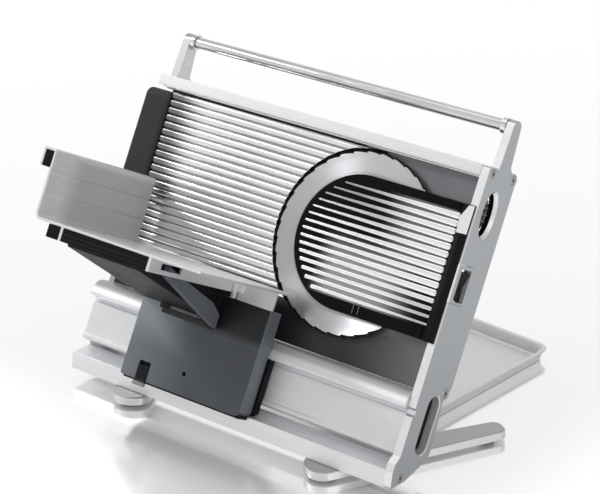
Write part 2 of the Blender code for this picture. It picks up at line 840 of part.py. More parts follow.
def blade(steel):
    disc = node(
        "blade",
        stack(
            "n",
            [
                plain_ring(BLADE_DISH_RADIUS, BLADE_DISH_BACK),
                plain_ring(BLADE_GRIND_RADIUS, BLADE_GRIND_BACK),
                tooth_ring(-BLADE_EDGE),
                tooth_ring(0),
                plain_ring(BLADE_GRIND_RADIUS, BLADE_GRIND_FRONT),
                plain_ring(BLADE_DISH_RADIUS, BLADE_DISH_FRONT),
            ],
        ),
        steel,
        PANEL,
    )
    cut(disc, prism("n", circle(0, 0, BLADE_BORE), BLADE_DISH_BACK - OVERRUN, OVERRUN))


def drive_line(steel, brass, dark, plastic, alloy):
    node(
        "blade_hub",
        turned(
            "n",
            0,
            0,
            [
                (SHAFT_RADIUS, SHAFT_BACK),
                (SHAFT_RADIUS, HUB_BACK),
                (HUB_RADIUS, HUB_BACK),
                (HUB_RADIUS, HUB_FRONT),
                (HUB_SPIGOT_RADIUS, HUB_FRONT),
                (HUB_SPIGOT_RADIUS, HUB_SPIGOT_FRONT),
            ],
        ),
        steel,
        PANEL,
    )
    bearing = node(
        "shaft_bearing",
        box(BEARING_LEFT, BEARING_RIGHT, BEARING_BACK, BEARING_FRONT, -BEARING_HALF, BEARING_HALF),
        alloy,
        PANEL,
    )
    bore = circle(0, 0, SHAFT_RADIUS + GAP)
    cut(bearing, prism("n", bore, BEARING_BACK - OVERRUN, BEARING_FRONT + OVERRUN))
    worm_wheel(brass)
    worm(steel)
    motor(dark)
    housing(plastic)


def worm_wheel(brass):
    ring = []
    for tooth in range(WHEEL_TEETH):
        for share, radius in zip(KNOB_SHARES, (WHEEL_TIP, WHEEL_TIP, WHEEL_ROOT, WHEEL_ROOT)):
            turn = 2 * math.pi * (tooth + share) / WHEEL_TEETH
            ring.append((radius * math.cos(turn), radius * math.sin(turn)))
    wheel = node("worm_wheel", prism("n", ring, WHEEL_BACK, WHEEL_FRONT), brass, PANEL)
    bore = circle(0, 0, SHAFT_RADIUS + GAP)
    cut(wheel, prism("n", bore, WHEEL_BACK - OVERRUN, WHEEL_FRONT + OVERRUN))


def worm(steel):
    sides, rows = 16, 40
    pitch = math.pi * (WHEEL_TIP + WHEEL_ROOT) / WHEEL_TEETH
    sections = [(circle(WORM_X, WORM_N, WORM_SHAFT_RADIUS, sides), MOTOR_TOP + GAP)]
    sections.append((circle(WORM_X, WORM_N, WORM_SHAFT_RADIUS, sides), -WORM_HALF))
    for row in range(rows + 1):
        height = -WORM_HALF + 2 * WORM_HALF * row / rows
        ring = []
        for i in range(sides):
            turn = 2 * math.pi * i / sides
            wave = 0.5 + 0.5 * math.cos(2 * math.pi * height / pitch + turn)
            radius = WORM_ROOT + (WORM_TIP - WORM_ROOT) * wave
            ring.append((WORM_X + radius * math.cos(turn), WORM_N + radius * math.sin(turn)))
        sections.append((ring, height))
    sections.append((circle(WORM_X, WORM_N, WORM_SHAFT_RADIUS, sides), WORM_HALF))
    sections.append((circle(WORM_X, WORM_N, WORM_SHAFT_RADIUS, sides), WORM_SHAFT_TOP))
    node("worm", stack("u", sections), steel, PANEL, (WORM_X, WORM_N, 0))


def motor(dark):
    low = HOUSING_LOW + HOUSING_WALL + GAP
    waist = MOTOR_RADIUS - MOTOR_RIB
    profile = [
        (MOTOR_RADIUS, low),
        (MOTOR_RADIUS, low + MOTOR_CAP),
        (waist, low + MOTOR_CAP),
        (waist, MOTOR_TOP - MOTOR_CAP),
        (MOTOR_RADIUS, MOTOR_TOP - MOTOR_CAP),
        (MOTOR_RADIUS, MOTOR_TOP),
    ]
    node("motor", turned("u", WORM_X, WORM_N, profile, ROUND - 12), dark, PANEL)


def housing_outline(inset):
    radius = HOUSING_CORNER - inset / 2
    return rounded(
        [
            (HOUSING_LEFT + inset, HOUSING_LOW + inset, radius),
            (HOUSING_RIGHT - inset, HOUSING_LOW + inset, radius),
            (HOUSING_RIGHT - inset, HOUSING_TOP - inset, radius),
            (HOUSING_LEFT + inset, HOUSING_TOP - inset, radius),
        ]
    )


def housing(plastic):
    shell = node(
        "motor_housing",
        stack(
            "n",
            [
                (housing_outline(SOFT_CORNER), HOUSING_BACK),
                (housing_outline(0), HOUSING_BACK + SOFT_CORNER),
                (housing_outline(0), HOUSING_FRONT),
            ],
        ),
        plastic,
        PANEL,
    )
    inner = housing_outline(HOUSING_WALL)
    cut(shell, prism("n", inner, HOUSING_BACK + HOUSING_WALL, HOUSING_FRONT + OVERRUN))
    for i in range(VENT_COUNT):
        left = VENT_LEFT + i * VENT_PITCH
        slot = box(left, left + VENT_WIDTH, HOUSING_BACK - OVERRUN, HOUSING_BACK + OVERRUN, VENT_LOW, VENT_TOP)
        cut(shell, slot)


def cover_ribs():
    mesh = bmesh.new()
    count = math.floor((COVER_RIB_LAST - COVER_RIB_FIRST) / RIB_PITCH) + 1
    for i in range(count):
        middle = COVER_RIB_FIRST + i * RIB_PITCH
        left = -math.sqrt(COVER_RIB_LEFT_RADIUS**2 - middle**2) + RIB_HALF
        rows = []
        for half_share, height_share in zip(RIB_HALF_SHARES, RIB_HEIGHT_SHARES):
            half = RIB_HALF * half_share
            ring = arc(left, middle, half, math.pi / 2, 3 * math.pi / 2, ARC_STEPS - 1)
            ring += arc(COVER_RIB_RIGHT - RIB_HALF, middle, half, -math.pi / 2, math.pi / 2, ARC_STEPS - 1)
            depth = COVER_FRONT + RIB_HEIGHT * height_share
            rows.append([mesh.verts.new(axis_point("n", a, b, depth)) for a, b in ring])
        for low, high in zip(rows, rows[1:]):
            for k in range(len(low)):
                j = (k + 1) % len(low)
                mesh.faces.new((low[k], low[j], high[j], high[k]))
        mesh.faces.new(list(reversed(rows[0])))
        mesh.faces.new(rows[-1])
    bmesh.ops.recalc_face_normals(mesh, faces=mesh.faces)
    return mesh


def blade_cover(gloss, metal):
    plate = arc(0, 0, COVER_RADIUS, math.pi / 2, 3 * math.pi / 2, 6 * ARC_STEPS)
    plate += [(COVER_FLAT_RIGHT, -COVER_RADIUS), (COVER_FLAT_RIGHT, COVER_RADIUS)]
    cover = node("blade_cover", prism("n", plate, COVER_BACK, COVER_FRONT), gloss, PANEL)
    flange = [
        (COVER_FLAT_RIGHT - SOFT_CORNER, COVER_BACK),
        (COVER_FLAT_RIGHT - SOFT_CORNER, COVER_FRONT),
        (COVER_FLAT_RIGHT, COVER_FRONT),
        (COVER_RAMP_TOP_X, COVER_FLANGE_FRONT),
        (COVER_EDGE_X, COVER_FLANGE_FRONT),
        (COVER_EDGE_X, COVER_FLANGE_BACK),
        (COVER_UNDER_TOP_X, COVER_FLANGE_BACK),
        (COVER_UNDER_TOP_X, COVER_UNDER_TOP_N),
        (COVER_UNDER_X, COVER_BACK),
    ]
    join(cover, prism("u", flange, -COVER_RADIUS, COVER_RADIUS))
    join(cover, prism("n", circle(0, 0, COVER_BOSS_RADIUS), COVER_BOSS_BACK, COVER_FRONT - RIB_HEIGHT))
    join(cover, cover_ribs())
    tab_top = COVER_FLANGE_FRONT + COVER_TAB_THICK
    tab = box(COVER_TAB_LEFT, COVER_TAB_RIGHT, COVER_FLANGE_BACK + GAP, tab_top, COVER_TAB_LOW, COVER_TAB_TOP)
    join(cover, tab)
    latch_u = LATCH_INSET - COVER_RADIUS
    hole = (
        LATCH_X - LATCH_HALF_X - GAP,
        LATCH_X + LATCH_HALF_X + GAP,
        COVER_BACK + RIB_HEIGHT,
        COVER_FRONT + OVERRUN,
        latch_u - LATCH_HALF_U - GAP,
        latch_u + LATCH_HALF_U + GAP,
    )
    cut(cover, box(*hole))
    latch = box(
        LATCH_X - LATCH_HALF_X,
        LATCH_X + LATCH_HALF_X,
        COVER_BACK + RIB_HEIGHT + GAP,
        LATCH_FRONT,
        latch_u - LATCH_HALF_U,
        latch_u + LATCH_HALF_U,
    )
    node("cover_latch", latch, metal, PANEL)


def gauge_outline():
    outline = [(GAUGE_BACK, GAUGE_LOW), (GAUGE_BACK, GAUGE_TOP), (GAUGE_VALLEY, GAUGE_TOP)]
    depth = GAUGE_CREST - GAUGE_VALLEY
    shares = list(zip(RIB_HALF_SHARES, (0.0, 0.66, 1.0)))
    count = math.floor((GAUGE_RIB_FIRST - RIB_HALF - GAUGE_LOW) / RIB_PITCH) + 1
    for i in range(count):
        middle = GAUGE_RIB_FIRST - i * RIB_PITCH
        for half_share, height_share in shares:
            outline.append((GAUGE_VALLEY + depth * height_share, middle + RIB_HALF * half_share))
        for half_share, height_share in reversed(shares):
            outline.append((GAUGE_VALLEY + depth * height_share, middle - RIB_HALF * half_share))
    outline.append((GAUGE_VALLEY, GAUGE_LOW))
    outline[3] = (GAUGE_VALLEY, outline[3][1] - GAP)
    return outline


def gauge(metal, dark, steel, alloy):
    plate = node("gauge_plate", prism("x", gauge_outline(), GAUGE_LEFT, GAUGE_RIGHT), metal, PANEL)
    arc_cut = circle(0, 0, BLADE_RADIUS + GAUGE_BLADE_GAP, FINE_ROUND)
    cut(plate, prism("n", arc_cut, GAUGE_BACK - OVERRUN, GAUGE_CREST + OVERRUN))
    right = GAUGE_LEFT - GAP
    grip = rounded(
        [
            (GRIP_LEFT, GAUGE_LOW, CORNER),
            (right, GAUGE_LOW, 0),
            (right, GAUGE_TOP, 0),
            (GRIP_LEFT, GAUGE_TOP, GRIP_CORNER),
        ]
    )
    trim = rounded(
        [
            (GRIP_LEFT + GRIP_BEVEL, GAUGE_LOW + GRIP_BEVEL, CORNER - GRIP_BEVEL),
            (right, GAUGE_LOW + GRIP_BEVEL, 0),
            (right, GAUGE_TOP - GRIP_BEVEL, 0),
            (GRIP_LEFT + GRIP_BEVEL, GAUGE_TOP - GRIP_BEVEL, GRIP_CORNER - GRIP_BEVEL),
        ]
    )
    sections = [(grip, GRIP_BACK), (grip, GRIP_FRONT - GRIP_BEVEL), (trim, GRIP_FRONT)]
    node("gauge_grip", stack("n", sections), dark, PANEL)
    for name, u in (("low", ROD_LOW_U), ("high", ROD_HIGH_U)):
        rod = prism("n", circle(ROD_X, u, ROD_RADIUS, ROUND // 2), ROD_BACK, GAUGE_BACK - GAP)
        node(f"gauge_rod_{name}", rod, steel, PANEL)
    slide_block(alloy)
    carrier(alloy)


def slide_block(alloy):
    left = FRAME_LEFT + PLATE_THICK + GAP
    block = node("slide_block", box(left, BLOCK_RIGHT, BLOCK_BACK, BLOCK_FRONT, BLOCK_LOW, BLOCK_TOP), alloy, PANEL)
    for u in (ROD_LOW_U, ROD_HIGH_U):
        bore = circle(ROD_X, u, ROD_RADIUS + GAP, ROUND // 2)
        cut(block, prism("n", bore, BLOCK_BACK - OVERRUN, BLOCK_FRONT + OVERRUN))


def carrier(alloy):
    outline = [
        (CARRIER_LEFT, CARRIER_PAD_LOW),
        (BLOCK_RIGHT, CARRIER_PAD_LOW),
        (BLOCK_RIGHT, CARRIER_BAR_LOW),
        (CARRIER_NUT_LEFT, CARRIER_BAR_LOW),
        (CARRIER_RIGHT, CARRIER_NUT_LOW),
        (CARRIER_RIGHT, CARRIER_NUT_TOP),
        (CARRIER_NUT_LEFT, CARRIER_NUT_TOP),
        (CARRIER_NUT_LEFT, CARRIER_BAR_TOP),
        (BLOCK_RIGHT, CARRIER_BAR_TOP),
        (BLOCK_RIGHT, CARRIER_PAD_TOP),
        (CARRIER_LEFT, CARRIER_PAD_TOP),
    ]
    bar = node("gauge_carrier", prism("n", outline, CARRIER_BACK, CARRIER_FRONT), alloy, PANEL)
    bore = circle(KNOB_X, KNOB_U, SPINDLE_RADIUS + GAP, ROUND // 2)
    cut(bar, prism("n", bore, CARRIER_BACK - OVERRUN, CARRIER_FRONT + OVERRUN))


def knob_ring(inset):
    ring = []
    for rib in range(KNOB_RIBS):
        for share, height in zip(KNOB_SHARES, KNOB_HEIGHT_SHARES):
            turn = 2 * math.pi * (rib + share) / KNOB_RIBS
            radius = KNOB_ROOT + (KNOB_RADIUS - KNOB_ROOT) * height - inset
            ring.append((KNOB_X + radius * math.cos(turn), KNOB_U + radius * math.sin(turn)))
    return ring


def thickness_control(dark, steel, alloy):
    middle = (KNOB_FRONT + KNOB_BACK) / 2
    node(
        "thickness_wheel",
        stack(
            "n",
            [
                (knob_ring(KNOB_BEVEL), KNOB_BACK),
                (knob_ring(0), KNOB_BACK + KNOB_BEVEL),
                (knob_ring(0), KNOB_FRONT - KNOB_BEVEL),
                (knob_ring(KNOB_BEVEL), KNOB_FRONT),
            ],
        ),
        dark,
        PANEL,
        (KNOB_X, middle, KNOB_U),
    )
    node(
        "spindle",
        turned(
            "n",
            KNOB_X,
            KNOB_U,
            [
                (SPINDLE_RADIUS, SPINDLE_BACK),
                (SPINDLE_RADIUS, SPINDLE_FLANGE_BACK),
                (SPINDLE_FLANGE, SPINDLE_FLANGE_BACK),
                (SPINDLE_FLANGE, KNOB_BACK - GAP),
            ],
            ROUND // 2,
        ),
        steel,
        PANEL,
        (KNOB_X, SPINDLE_BACK, KNOB_U),
    )
    right = FRAME_RIGHT - PLATE_THICK - GAP
    bracket = node(
        "spindle_bracket",
        box(BRACKET_LEFT, right, BRACKET_BACK, BRACKET_FRONT, BRACKET_LOW, BRACKET_TOP),
        alloy,
        PANEL,
    )
    bore = circle(KNOB_X, KNOB_U, SPINDLE_RADIUS + GAP, ROUND // 2)
    cut(bracket, prism("n", bore, BRACKET_BACK - OVERRUN, BRACKET_FRONT + OVERRUN))


def power_switch(metal, dark):
    rear, low, top = SWITCH_REAR + GAP, SWITCH_LOW + GAP, SWITCH_TOP - GAP
    outer_x = FRAME_RIGHT + BEZEL_PROUD
    bezel = node("switch_bezel", box(BEZEL_BACK_X, outer_x, rear, BEZEL_FRONT, low, top), metal, PANEL)
    join(bezel, box(BEZEL_NOSE_X, outer_x, BEZEL_NOSE_BACK, BEZEL_NOSE_FRONT, low, top))
    opening = box(
        BEZEL_BACK_X - OVERRUN,
        outer_x + OVERRUN,
        BEZEL_OPEN_REAR,
        BEZEL_OPEN_FRONT,
        BEZEL_OPEN_LOW,
        BEZEL_OPEN_TOP,
    )
    cut(bezel, opening)
    middle = (BEZEL_OPEN_TOP + BEZEL_OPEN_LOW) / 2
    pivot = Vector((ROCKER_PIVOT_X, middle))
    level = [
        (ROCKER_BACK_X, middle - ROCKER_WAIST),
        (ROCKER_SIDE_X, middle - ROCKER_HALF),
        (ROCKER_FACE_X, middle - ROCKER_HALF),
        (ROCKER_FACE_X - ROCKER_DIP, middle),
        (ROCKER_FACE_X, middle + ROCKER_HALF),
        (ROCKER_SIDE_X, middle + ROCKER_HALF),
        (ROCKER_BACK_X, middle + ROCKER_WAIST),
    ]
    tilt = Matrix.Rotation(ROCKER_TILT, 2)
    outline = [tuple(pivot + tilt @ (Vector(point) - pivot)) for point in level]
    depth = (BEZEL_OPEN_REAR + BEZEL_OPEN_FRONT) / 2
    node(
        "switch_rocker",
        prism("n", outline, BEZEL_OPEN_REAR + GAP, BEZEL_OPEN_FRONT - GAP),
        dark,
        PANEL,
        (ROCKER_PIVOT_X, depth, middle),
    )


def carriage_plate(grey):
    outline = rounded(
        [
            (CAR_LEFT, CAR_LOW, CORNER),
            (CAR_RIGHT, CAR_LOW, CAR_CORNER),
            (CAR_RIGHT, CAR_TOWER_TOP, 0),
            (CAR_RECESS_RIGHT, CAR_TOWER_TOP, 0),
            (CAR_RECESS_RIGHT, CAR_RECESS_U, 0),
            (CAR_RECESS_LEFT, CAR_RECESS_U, 0),
            (CAR_RECESS_LEFT, CAR_TOP, 0),
            (CAR_LEFT, CAR_TOP, SOFT_CORNER),
        ]
    )
    plate = node("carriage_plate", prism("n", outline, CAR_BACK, CAR_FRONT), grey, PANEL)
    low = CAR_LOW - OVERRUN
    hollow = [
        (CAR_LEFT + CAR_WALL, low),
        (CAR_RIGHT - CAR_WALL, low),
        (CAR_RIGHT - CAR_WALL, CAR_TOWER_TOP - CAR_WALL),
        (CAR_RECESS_RIGHT + CAR_WALL, CAR_TOWER_TOP - CAR_WALL),
        (CAR_RECESS_RIGHT + CAR_WALL, CAR_RECESS_U - CAR_WALL),
        (CAR_RECESS_LEFT - CAR_WALL, CAR_RECESS_U - CAR_WALL),
        (CAR_RECESS_LEFT - CAR_WALL, CAR_TOP - CAR_WALL),
        (CAR_LEFT + CAR_WALL, CAR_TOP - CAR_WALL),
    ]
    cut(plate, prism("n", hollow, CAR_BACK - OVERRUN, CAR_FRONT - CAR_WALL))
    window = box(
        LOCK_LEFT - GAP,
        LOCK_RIGHT + GAP,
        CAR_BACK,
        CAR_FRONT + OVERRUN,
        CAR_LOW - OVERRUN,
        LOCK_LOW + LOCK_HEIGHT + OVERRUN,
    )
    cut(plate, window)
    dot = circle(DOT_X, DOT_U, DOT_RADIUS, ROUND // 2)
    cut(plate, prism("n", dot, CAR_BACK, CAR_FRONT + OVERRUN))


def carriage_glide(dark):
    block = [
        (GLIDE_STEP, GLIDE_TOP),
        (GLIDE_FRONT, GLIDE_TOP),
        (GLIDE_FRONT, GLIDE_LOW),
        (GLIDE_LOW_STEP_N, GLIDE_LOW),
        (GLIDE_LOW_STEP_N, GLIDE_LOW_STEP),
        (GLIDE_STEP, GLIDE_LOW_STEP),
    ]
    left = CAR_LEFT + CAR_WALL + GAP
    right = CAR_RIGHT - CAR_WALL - GAP
    glide = node("carriage_glide", prism("x", block, left, right), dark, PANEL)
    slab = [
        (GLIDE_BACK, GLIDE_SLAB_TOP),
        (GLIDE_STEP, GLIDE_SLAB_TOP),
        (GLIDE_STEP, GLIDE_LOW_STEP),
        (GLIDE_BACK, GLIDE_LOW_BACK),
    ]
    join(glide, prism("x", slab, GLIDE_LEFT, GLIDE_RIGHT))


def lock_slider(dark):
    outline = [
        (LOCK_BACK, LOCK_FOOT_LOW),
        (LOCK_FRONT + CORNER, LOCK_FOOT_LOW),
        (LOCK_FRONT + CORNER, LOCK_FOOT_LOW + CORNER),
        (LOCK_FRONT, LOCK_LOW),
        (LOCK_FRONT, LOCK_LOW + LOCK_HEIGHT),
        (LOCK_BACK, LOCK_LOW + LOCK_HEIGHT),
    ]
    node("lock_slider", prism("x", outline, LOCK_LEFT, LOCK_RIGHT), dark, PANEL)


def carriage_arm(grey):
    slope = (ARM_OUTER_LOW - ARM_INNER_LOW) / (ARM_OUTER - ARM_INNER)

    def low(n):
        return ARM_INNER_LOW + slope * (n - ARM_INNER)

    outline = [
        (ARM_INNER, ARM_INNER_LOW),
        (ARM_OUTER, ARM_OUTER_LOW),
        (ARM_OUTER, ARM_TOP),
        (ARM_INNER, ARM_TOP),
    ]
    arm = node("carriage_arm", prism("x", outline, ARM_LEFT, ARM_RIGHT), grey, PANEL)
    inner = [
        (ARM_INNER - OVERRUN, ARM_INNER_LOW + ARM_SHEET - slope * OVERRUN),
        (ARM_OUTER - ARM_SHEET, low(ARM_OUTER - ARM_SHEET) + ARM_SHEET),
        (ARM_OUTER - ARM_SHEET, ARM_TOP + OVERRUN),
        (ARM_INNER - OVERRUN, ARM_TOP + OVERRUN),
    ]
    cut(arm, prism("x", inner, ARM_LEFT + ARM_SHEET, ARM_RIGHT - ARM_SHEET))
    strut = [
        (STRUT_INNER, STRUT_HEEL_U),
        (STRUT_OUTER, STRUT_OUTER_U),
        (STRUT_OUTER, STRUT_TOP),
        (STRUT_NECK_N, STRUT_NECK_U),
        (STRUT_KNEE_N, STRUT_KNEE_U),
        (STRUT_INNER, STRUT_TOE_U),
    ]
    join(arm, prism("x", strut, ARM_RIGHT - ARM_SHEET / 2, ARM_RIGHT + STRUT_REACH))
    hook = box(HOOK_LEFT, HOOK_RIGHT, ARM_INNER, HOOK_FRONT, HOOK_LOW, HOOK_TOP)
    node("arm_hook", hook, grey, PANEL)


def table_outline():
    low = TABLE_TOP - TABLE_THICK
    grip_left = WALL_X - GRIP_REACH
    points = [
        (TABLE_RIGHT, low),
        (TABLE_RIGHT, TABLE_TOP),
    ]
    points += arc(WALL_X + WALL_BEND, TABLE_TOP + WALL_BEND, WALL_BEND, -math.pi / 2, -math.pi)
    for middle in reversed(WALL_GROOVES):
        points += [
            (WALL_X, middle - WALL_GROOVE_HALF),
            (WALL_X - WALL_GROOVE_DEPTH, middle),
            (WALL_X, middle + WALL_GROOVE_HALF),
        ]
    points += arc(WALL_X - WALL_THICK, WALL_TOP - WALL_THICK, WALL_THICK, 0, math.pi / 2)
    points += arc(grip_left + WALL_THICK, WALL_TOP - WALL_THICK, WALL_THICK, math.pi / 2, math.pi)
    points += [
        (grip_left, WALL_TOP - GRIP_DROP),
        (grip_left + WALL_THICK, WALL_TOP - GRIP_DROP),
        (grip_left + WALL_THICK, WALL_TOP - WALL_THICK),
        (WALL_X - WALL_THICK, WALL_TOP - WALL_THICK),
    ]
    points += arc(WALL_X + WALL_BEND, TABLE_TOP + WALL_BEND, WALL_BEND + WALL_THICK, -math.pi, -math.pi / 2)
    for left in (LEG_LEFT, LEG_RIGHT_X):
        points += [(left, low), (left, LEG_LOW), (left + LEG_THICK, LEG_LOW), (left + LEG_THICK, low)]
    return points


def carriage_table(metal, dark):
    table = node("carriage_table", prism("n", table_outline(), TABLE_INNER, TABLE_OUTER), metal, PANEL)
    slot = box(
        LEG_RIGHT_X - OVERRUN,
        LEG_RIGHT_X + LEG_THICK + OVERRUN,
        LEG_SLOT_INNER,
        LEG_SLOT_OUTER,
        LEG_SLOT_LOW,
        LEG_SLOT_TOP,
    )
    cut(table, slot)
    grip_left = WALL_X - GRIP_REACH
    hook = rounded(
        [
            (grip_left + WALL_THICK + GAP, WALL_TOP - GRIP_DROP, 0),
            (WALL_X - WALL_THICK - GAP, WALL_TOP - GRIP_DROP, 0),
            (WALL_X - WALL_THICK - GAP, WALL_TOP - WALL_THICK - GAP, 0),
            (grip_left + WALL_THICK + GAP, WALL_TOP - WALL_THICK - GAP, 0),
        ]
    )
    outer = TABLE_OUTER + CAP_PROUD
    node("grip_cap_outer", prism("n", hook, outer - CAP_DEPTH, outer), dark, PANEL)
    inner = TABLE_INNER + GAP
    node("grip_cap_inner", prism("n", hook, inner, inner + CAP_DEPTH), dark, PANEL)


def table_trim(metal, dark, alloy):
    top = TABLE_TOP - TABLE_THICK - GAP
    face = [(STRIP_BACK, top), (STRIP_BACK, STRIP_LOW), (STRIP_FRONT, STRIP_LOW)]
    for middle in reversed(STRIP_GROOVES):
        face += [
            (STRIP_FRONT, middle - STRIP_GROOVE_HALF),
            (STRIP_FRONT - STRIP_GROOVE_DEPTH, middle),
            (STRIP_FRONT, middle + STRIP_GROOVE_HALF),
        ]
    face.append((STRIP_FRONT, top))
    left, right = LEG_LEFT + LEG_THICK + GAP, LEG_RIGHT_X - GAP
    node("front_strip", prism("x", face, left, right), dark, PANEL)
    end = box(END_LEFT, LEG_LEFT - GAP, END_INNER, TABLE_OUTER, STRIP_LOW, top)
    node("strip_end_block", end, dark, PANEL)
    support = box(SUPPORT_LEFT, CAR_RIGHT, SUPPORT_BACK, CAR_FRONT, CAR_TOWER_TOP + GAP, top)
    node("table_support", support, metal, PANEL)
    outline = [
        (CLASP_INNER, top),
        (CLASP_OUTER, top),
        (CLASP_OUTER, CLASP_FOOT),
        (CLASP_STEP, CLASP_FOOT),
        (CLASP_STEP, CLASP_LOW),
        (CLASP_INNER, CLASP_LOW),
    ]
    node("leg_clasp", prism("x", outline, CLASP_LEFT, CLASP_RIGHT), alloy, PANEL)


def foot_outline(bevel):
    front, rear = FOOT_HALF_FRONT - bevel, FOOT_HALF_REAR - bevel
    low, high = FOOT_FRONT + bevel, FOOT_REAR - bevel
    return rounded(
        [
            (-front, low, FOOT_CORNER_FRONT - bevel),
            (front, low, FOOT_CORNER_FRONT - bevel),
            (rear, high, FOOT_CORNER_REAR - bevel),
            (-rear, high, FOOT_CORNER_REAR - bevel),
        ]
    )


def feet(metal, rubber):
    for side, mirror in (("right", 1), ("left", -1)):
        turn = Matrix.Rotation(-mirror * FOOT_SPLAY, 4, "Z")
        spot = Vector((FRAME_MIDDLE + mirror * (FOOT_X - FRAME_MIDDLE), FOOT_Y, 0))
        frame = LEVEL @ Matrix.Translation(spot) @ turn
        bevel = FOOT_TOP_BEVEL
        outline, inner = foot_outline(0), foot_outline(bevel)
        sections = [(outline, FOOT_LOW), (outline, FOOT_HIGH - bevel), (inner, FOOT_HIGH)]
        node(f"foot_bar_{side}", stack("z", sections), metal, frame)
        ends = (("front", FOOT_FRONT + PAD_INSET, PAD_FRONT_RADIUS), ("rear", FOOT_REAR - PAD_INSET, PAD_REAR_RADIUS))
        for end, y, radius in ends:
            pad = prism("z", circle(0, y, radius, ROUND // 2), 0, FOOT_LOW - GAP)
            node(f"foot_pad_{side}_{end}", pad, rubber, frame)


def tray_outline(inset):
    radius = TRAY_RADIUS - inset
    return rounded(
        [
            (-TRAY_WIDTH + inset, -TRAY_DEPTH + inset, radius),
            (-inset, -TRAY_DEPTH + inset, radius),
            (-inset, -inset, radius),
            (-TRAY_WIDTH + inset, -inset, radius),
        ]
    )


def slice_tray(metal):
    spot = Matrix.Translation((TRAY_CORNER_X, TRAY_CORNER_Y, TRAY_LIFT))
    frame = LEVEL @ spot @ Matrix.Rotation(TRAY_TURN, 4, "Z")
    rim_low = TRAY_HEIGHT - TRAY_SHEET
    sections = [
        (tray_outline(TRAY_RIM + TRAY_SLOPE), 0),
        (tray_outline(TRAY_RIM), rim_low),
        (tray_outline(0), rim_low),
        (tray_outline(0), TRAY_HEIGHT),
        (tray_outline(TRAY_RIM + TRAY_SHEET), TRAY_HEIGHT),
        (tray_outline(TRAY_RIM + TRAY_SHEET + TRAY_SLOPE), TRAY_SHEET),
    ]
    node("slice_tray", stack("z", sections), metal, frame)


def build():
    clear_scene()
    alloy = make_material("brushed_alloy", (0.62, 0.64, 0.66), 0.9, 0.38)
    extrusion = make_material("satin_extrusion", (0.70, 0.71, 0.73), 0.85, 0.42)
    bright = make_material("bright_steel", (0.78, 0.78, 0.80), 1.0, 0.16)
    ribbed = make_material("ribbed_alloy", (0.80, 0.81, 0.82), 0.95, 0.22)
    gloss = make_material("black_gloss", (0.018, 0.018, 0.02), 0.3, 0.08, 1.0)
    slate = make_material("slate_satin", (0.055, 0.06, 0.066), 0.25, 0.42)
    matte = make_material("slate_matte", (0.085, 0.09, 0.096), 0.1, 0.6)
    plastic = make_material("black_plastic", (0.016, 0.016, 0.018), 0.0, 0.45)
    rubber = make_material("black_rubber", (0.012, 0.012, 0.012), 0.0, 0.85)
    brass = make_material("brass", (0.72, 0.52, 0.22), 1.0, 0.3)
    side_plates(alloy)
    side_screws(bright)
    carry_bar(bright, bright)
    top_rail(extrusion)
    guide_rail(extrusion)
    base_rail(extrusion)
    back_panel(matte)
    blade(bright)
    drive_line(bright, brass, slate, plastic, alloy)
    blade_cover(gloss, bright)
    gauge(ribbed, plastic, bright, alloy)
    thickness_control(plastic, bright, alloy)
    power_switch(bright, plastic)
    carriage_plate(slate)
    carriage_glide(plastic)
    lock_slider(plastic)
    carriage_arm(slate)
    carriage_table(extrusion, plastic)
    table_trim(extrusion, plastic, alloy)
    feet(bright, rubber)
    slice_tray(extrusion)


build()
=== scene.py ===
import json
import math

import bmesh
import bpy
from mathutils import Matrix, Vector


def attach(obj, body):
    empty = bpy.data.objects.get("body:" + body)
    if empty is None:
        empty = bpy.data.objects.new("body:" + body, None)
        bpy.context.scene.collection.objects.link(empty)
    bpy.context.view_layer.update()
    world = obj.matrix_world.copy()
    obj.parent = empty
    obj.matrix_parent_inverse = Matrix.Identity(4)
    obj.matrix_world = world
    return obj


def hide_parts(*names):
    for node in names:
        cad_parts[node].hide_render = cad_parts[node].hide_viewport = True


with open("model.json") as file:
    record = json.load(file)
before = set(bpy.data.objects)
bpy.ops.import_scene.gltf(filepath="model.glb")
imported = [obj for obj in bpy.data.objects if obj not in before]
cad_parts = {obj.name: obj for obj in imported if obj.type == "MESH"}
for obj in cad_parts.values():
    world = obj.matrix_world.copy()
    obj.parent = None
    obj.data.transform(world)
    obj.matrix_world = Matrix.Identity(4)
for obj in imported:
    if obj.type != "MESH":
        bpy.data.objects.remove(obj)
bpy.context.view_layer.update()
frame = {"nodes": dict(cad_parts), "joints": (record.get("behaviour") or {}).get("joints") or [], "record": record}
nodes = frame["nodes"]
joints = {joint["name"]: joint for joint in frame["joints"]}
bodyOf = {node: body for body, members in frame["record"]["behaviour"]["bodies"].items() for node in members}
print("frame loaded:", len(nodes), "nodes")

# The leaning panel: local x runs along the machine, y up the panel and z out of it, from the blade's centre.
bladeCentre = Vector(joints["blade_spin"]["pos_m"])
outOfPanel = Vector(joints["blade_spin"]["axis"]).normalized()
alongX = Vector((1, 0, 0))
upPanel = outOfPanel.cross(alongX).normalized()


def axesMatrix(x, y, z, origin):
    return Matrix.Translation(origin) @ Matrix((x, y, z)).transposed().to_4x4()


panel = axesMatrix(alongX, upPanel, outOfPanel, bladeCentre)
endOn = axesMatrix(-outOfPanel, upPanel, alongX, bladeCentre)  # x to the back, y up the panel, z to the right
level = Matrix.Identity(4)


def span(node, place=panel):
    inward = place.inverted()
    points = [inward @ vertex.co for vertex in nodes[node].data.vertices]
    low = Vector(min(point[i] for point in points) for i in range(3))
    high = Vector(max(point[i] for point in points) for i in range(3))
    return low, high


# Finishes

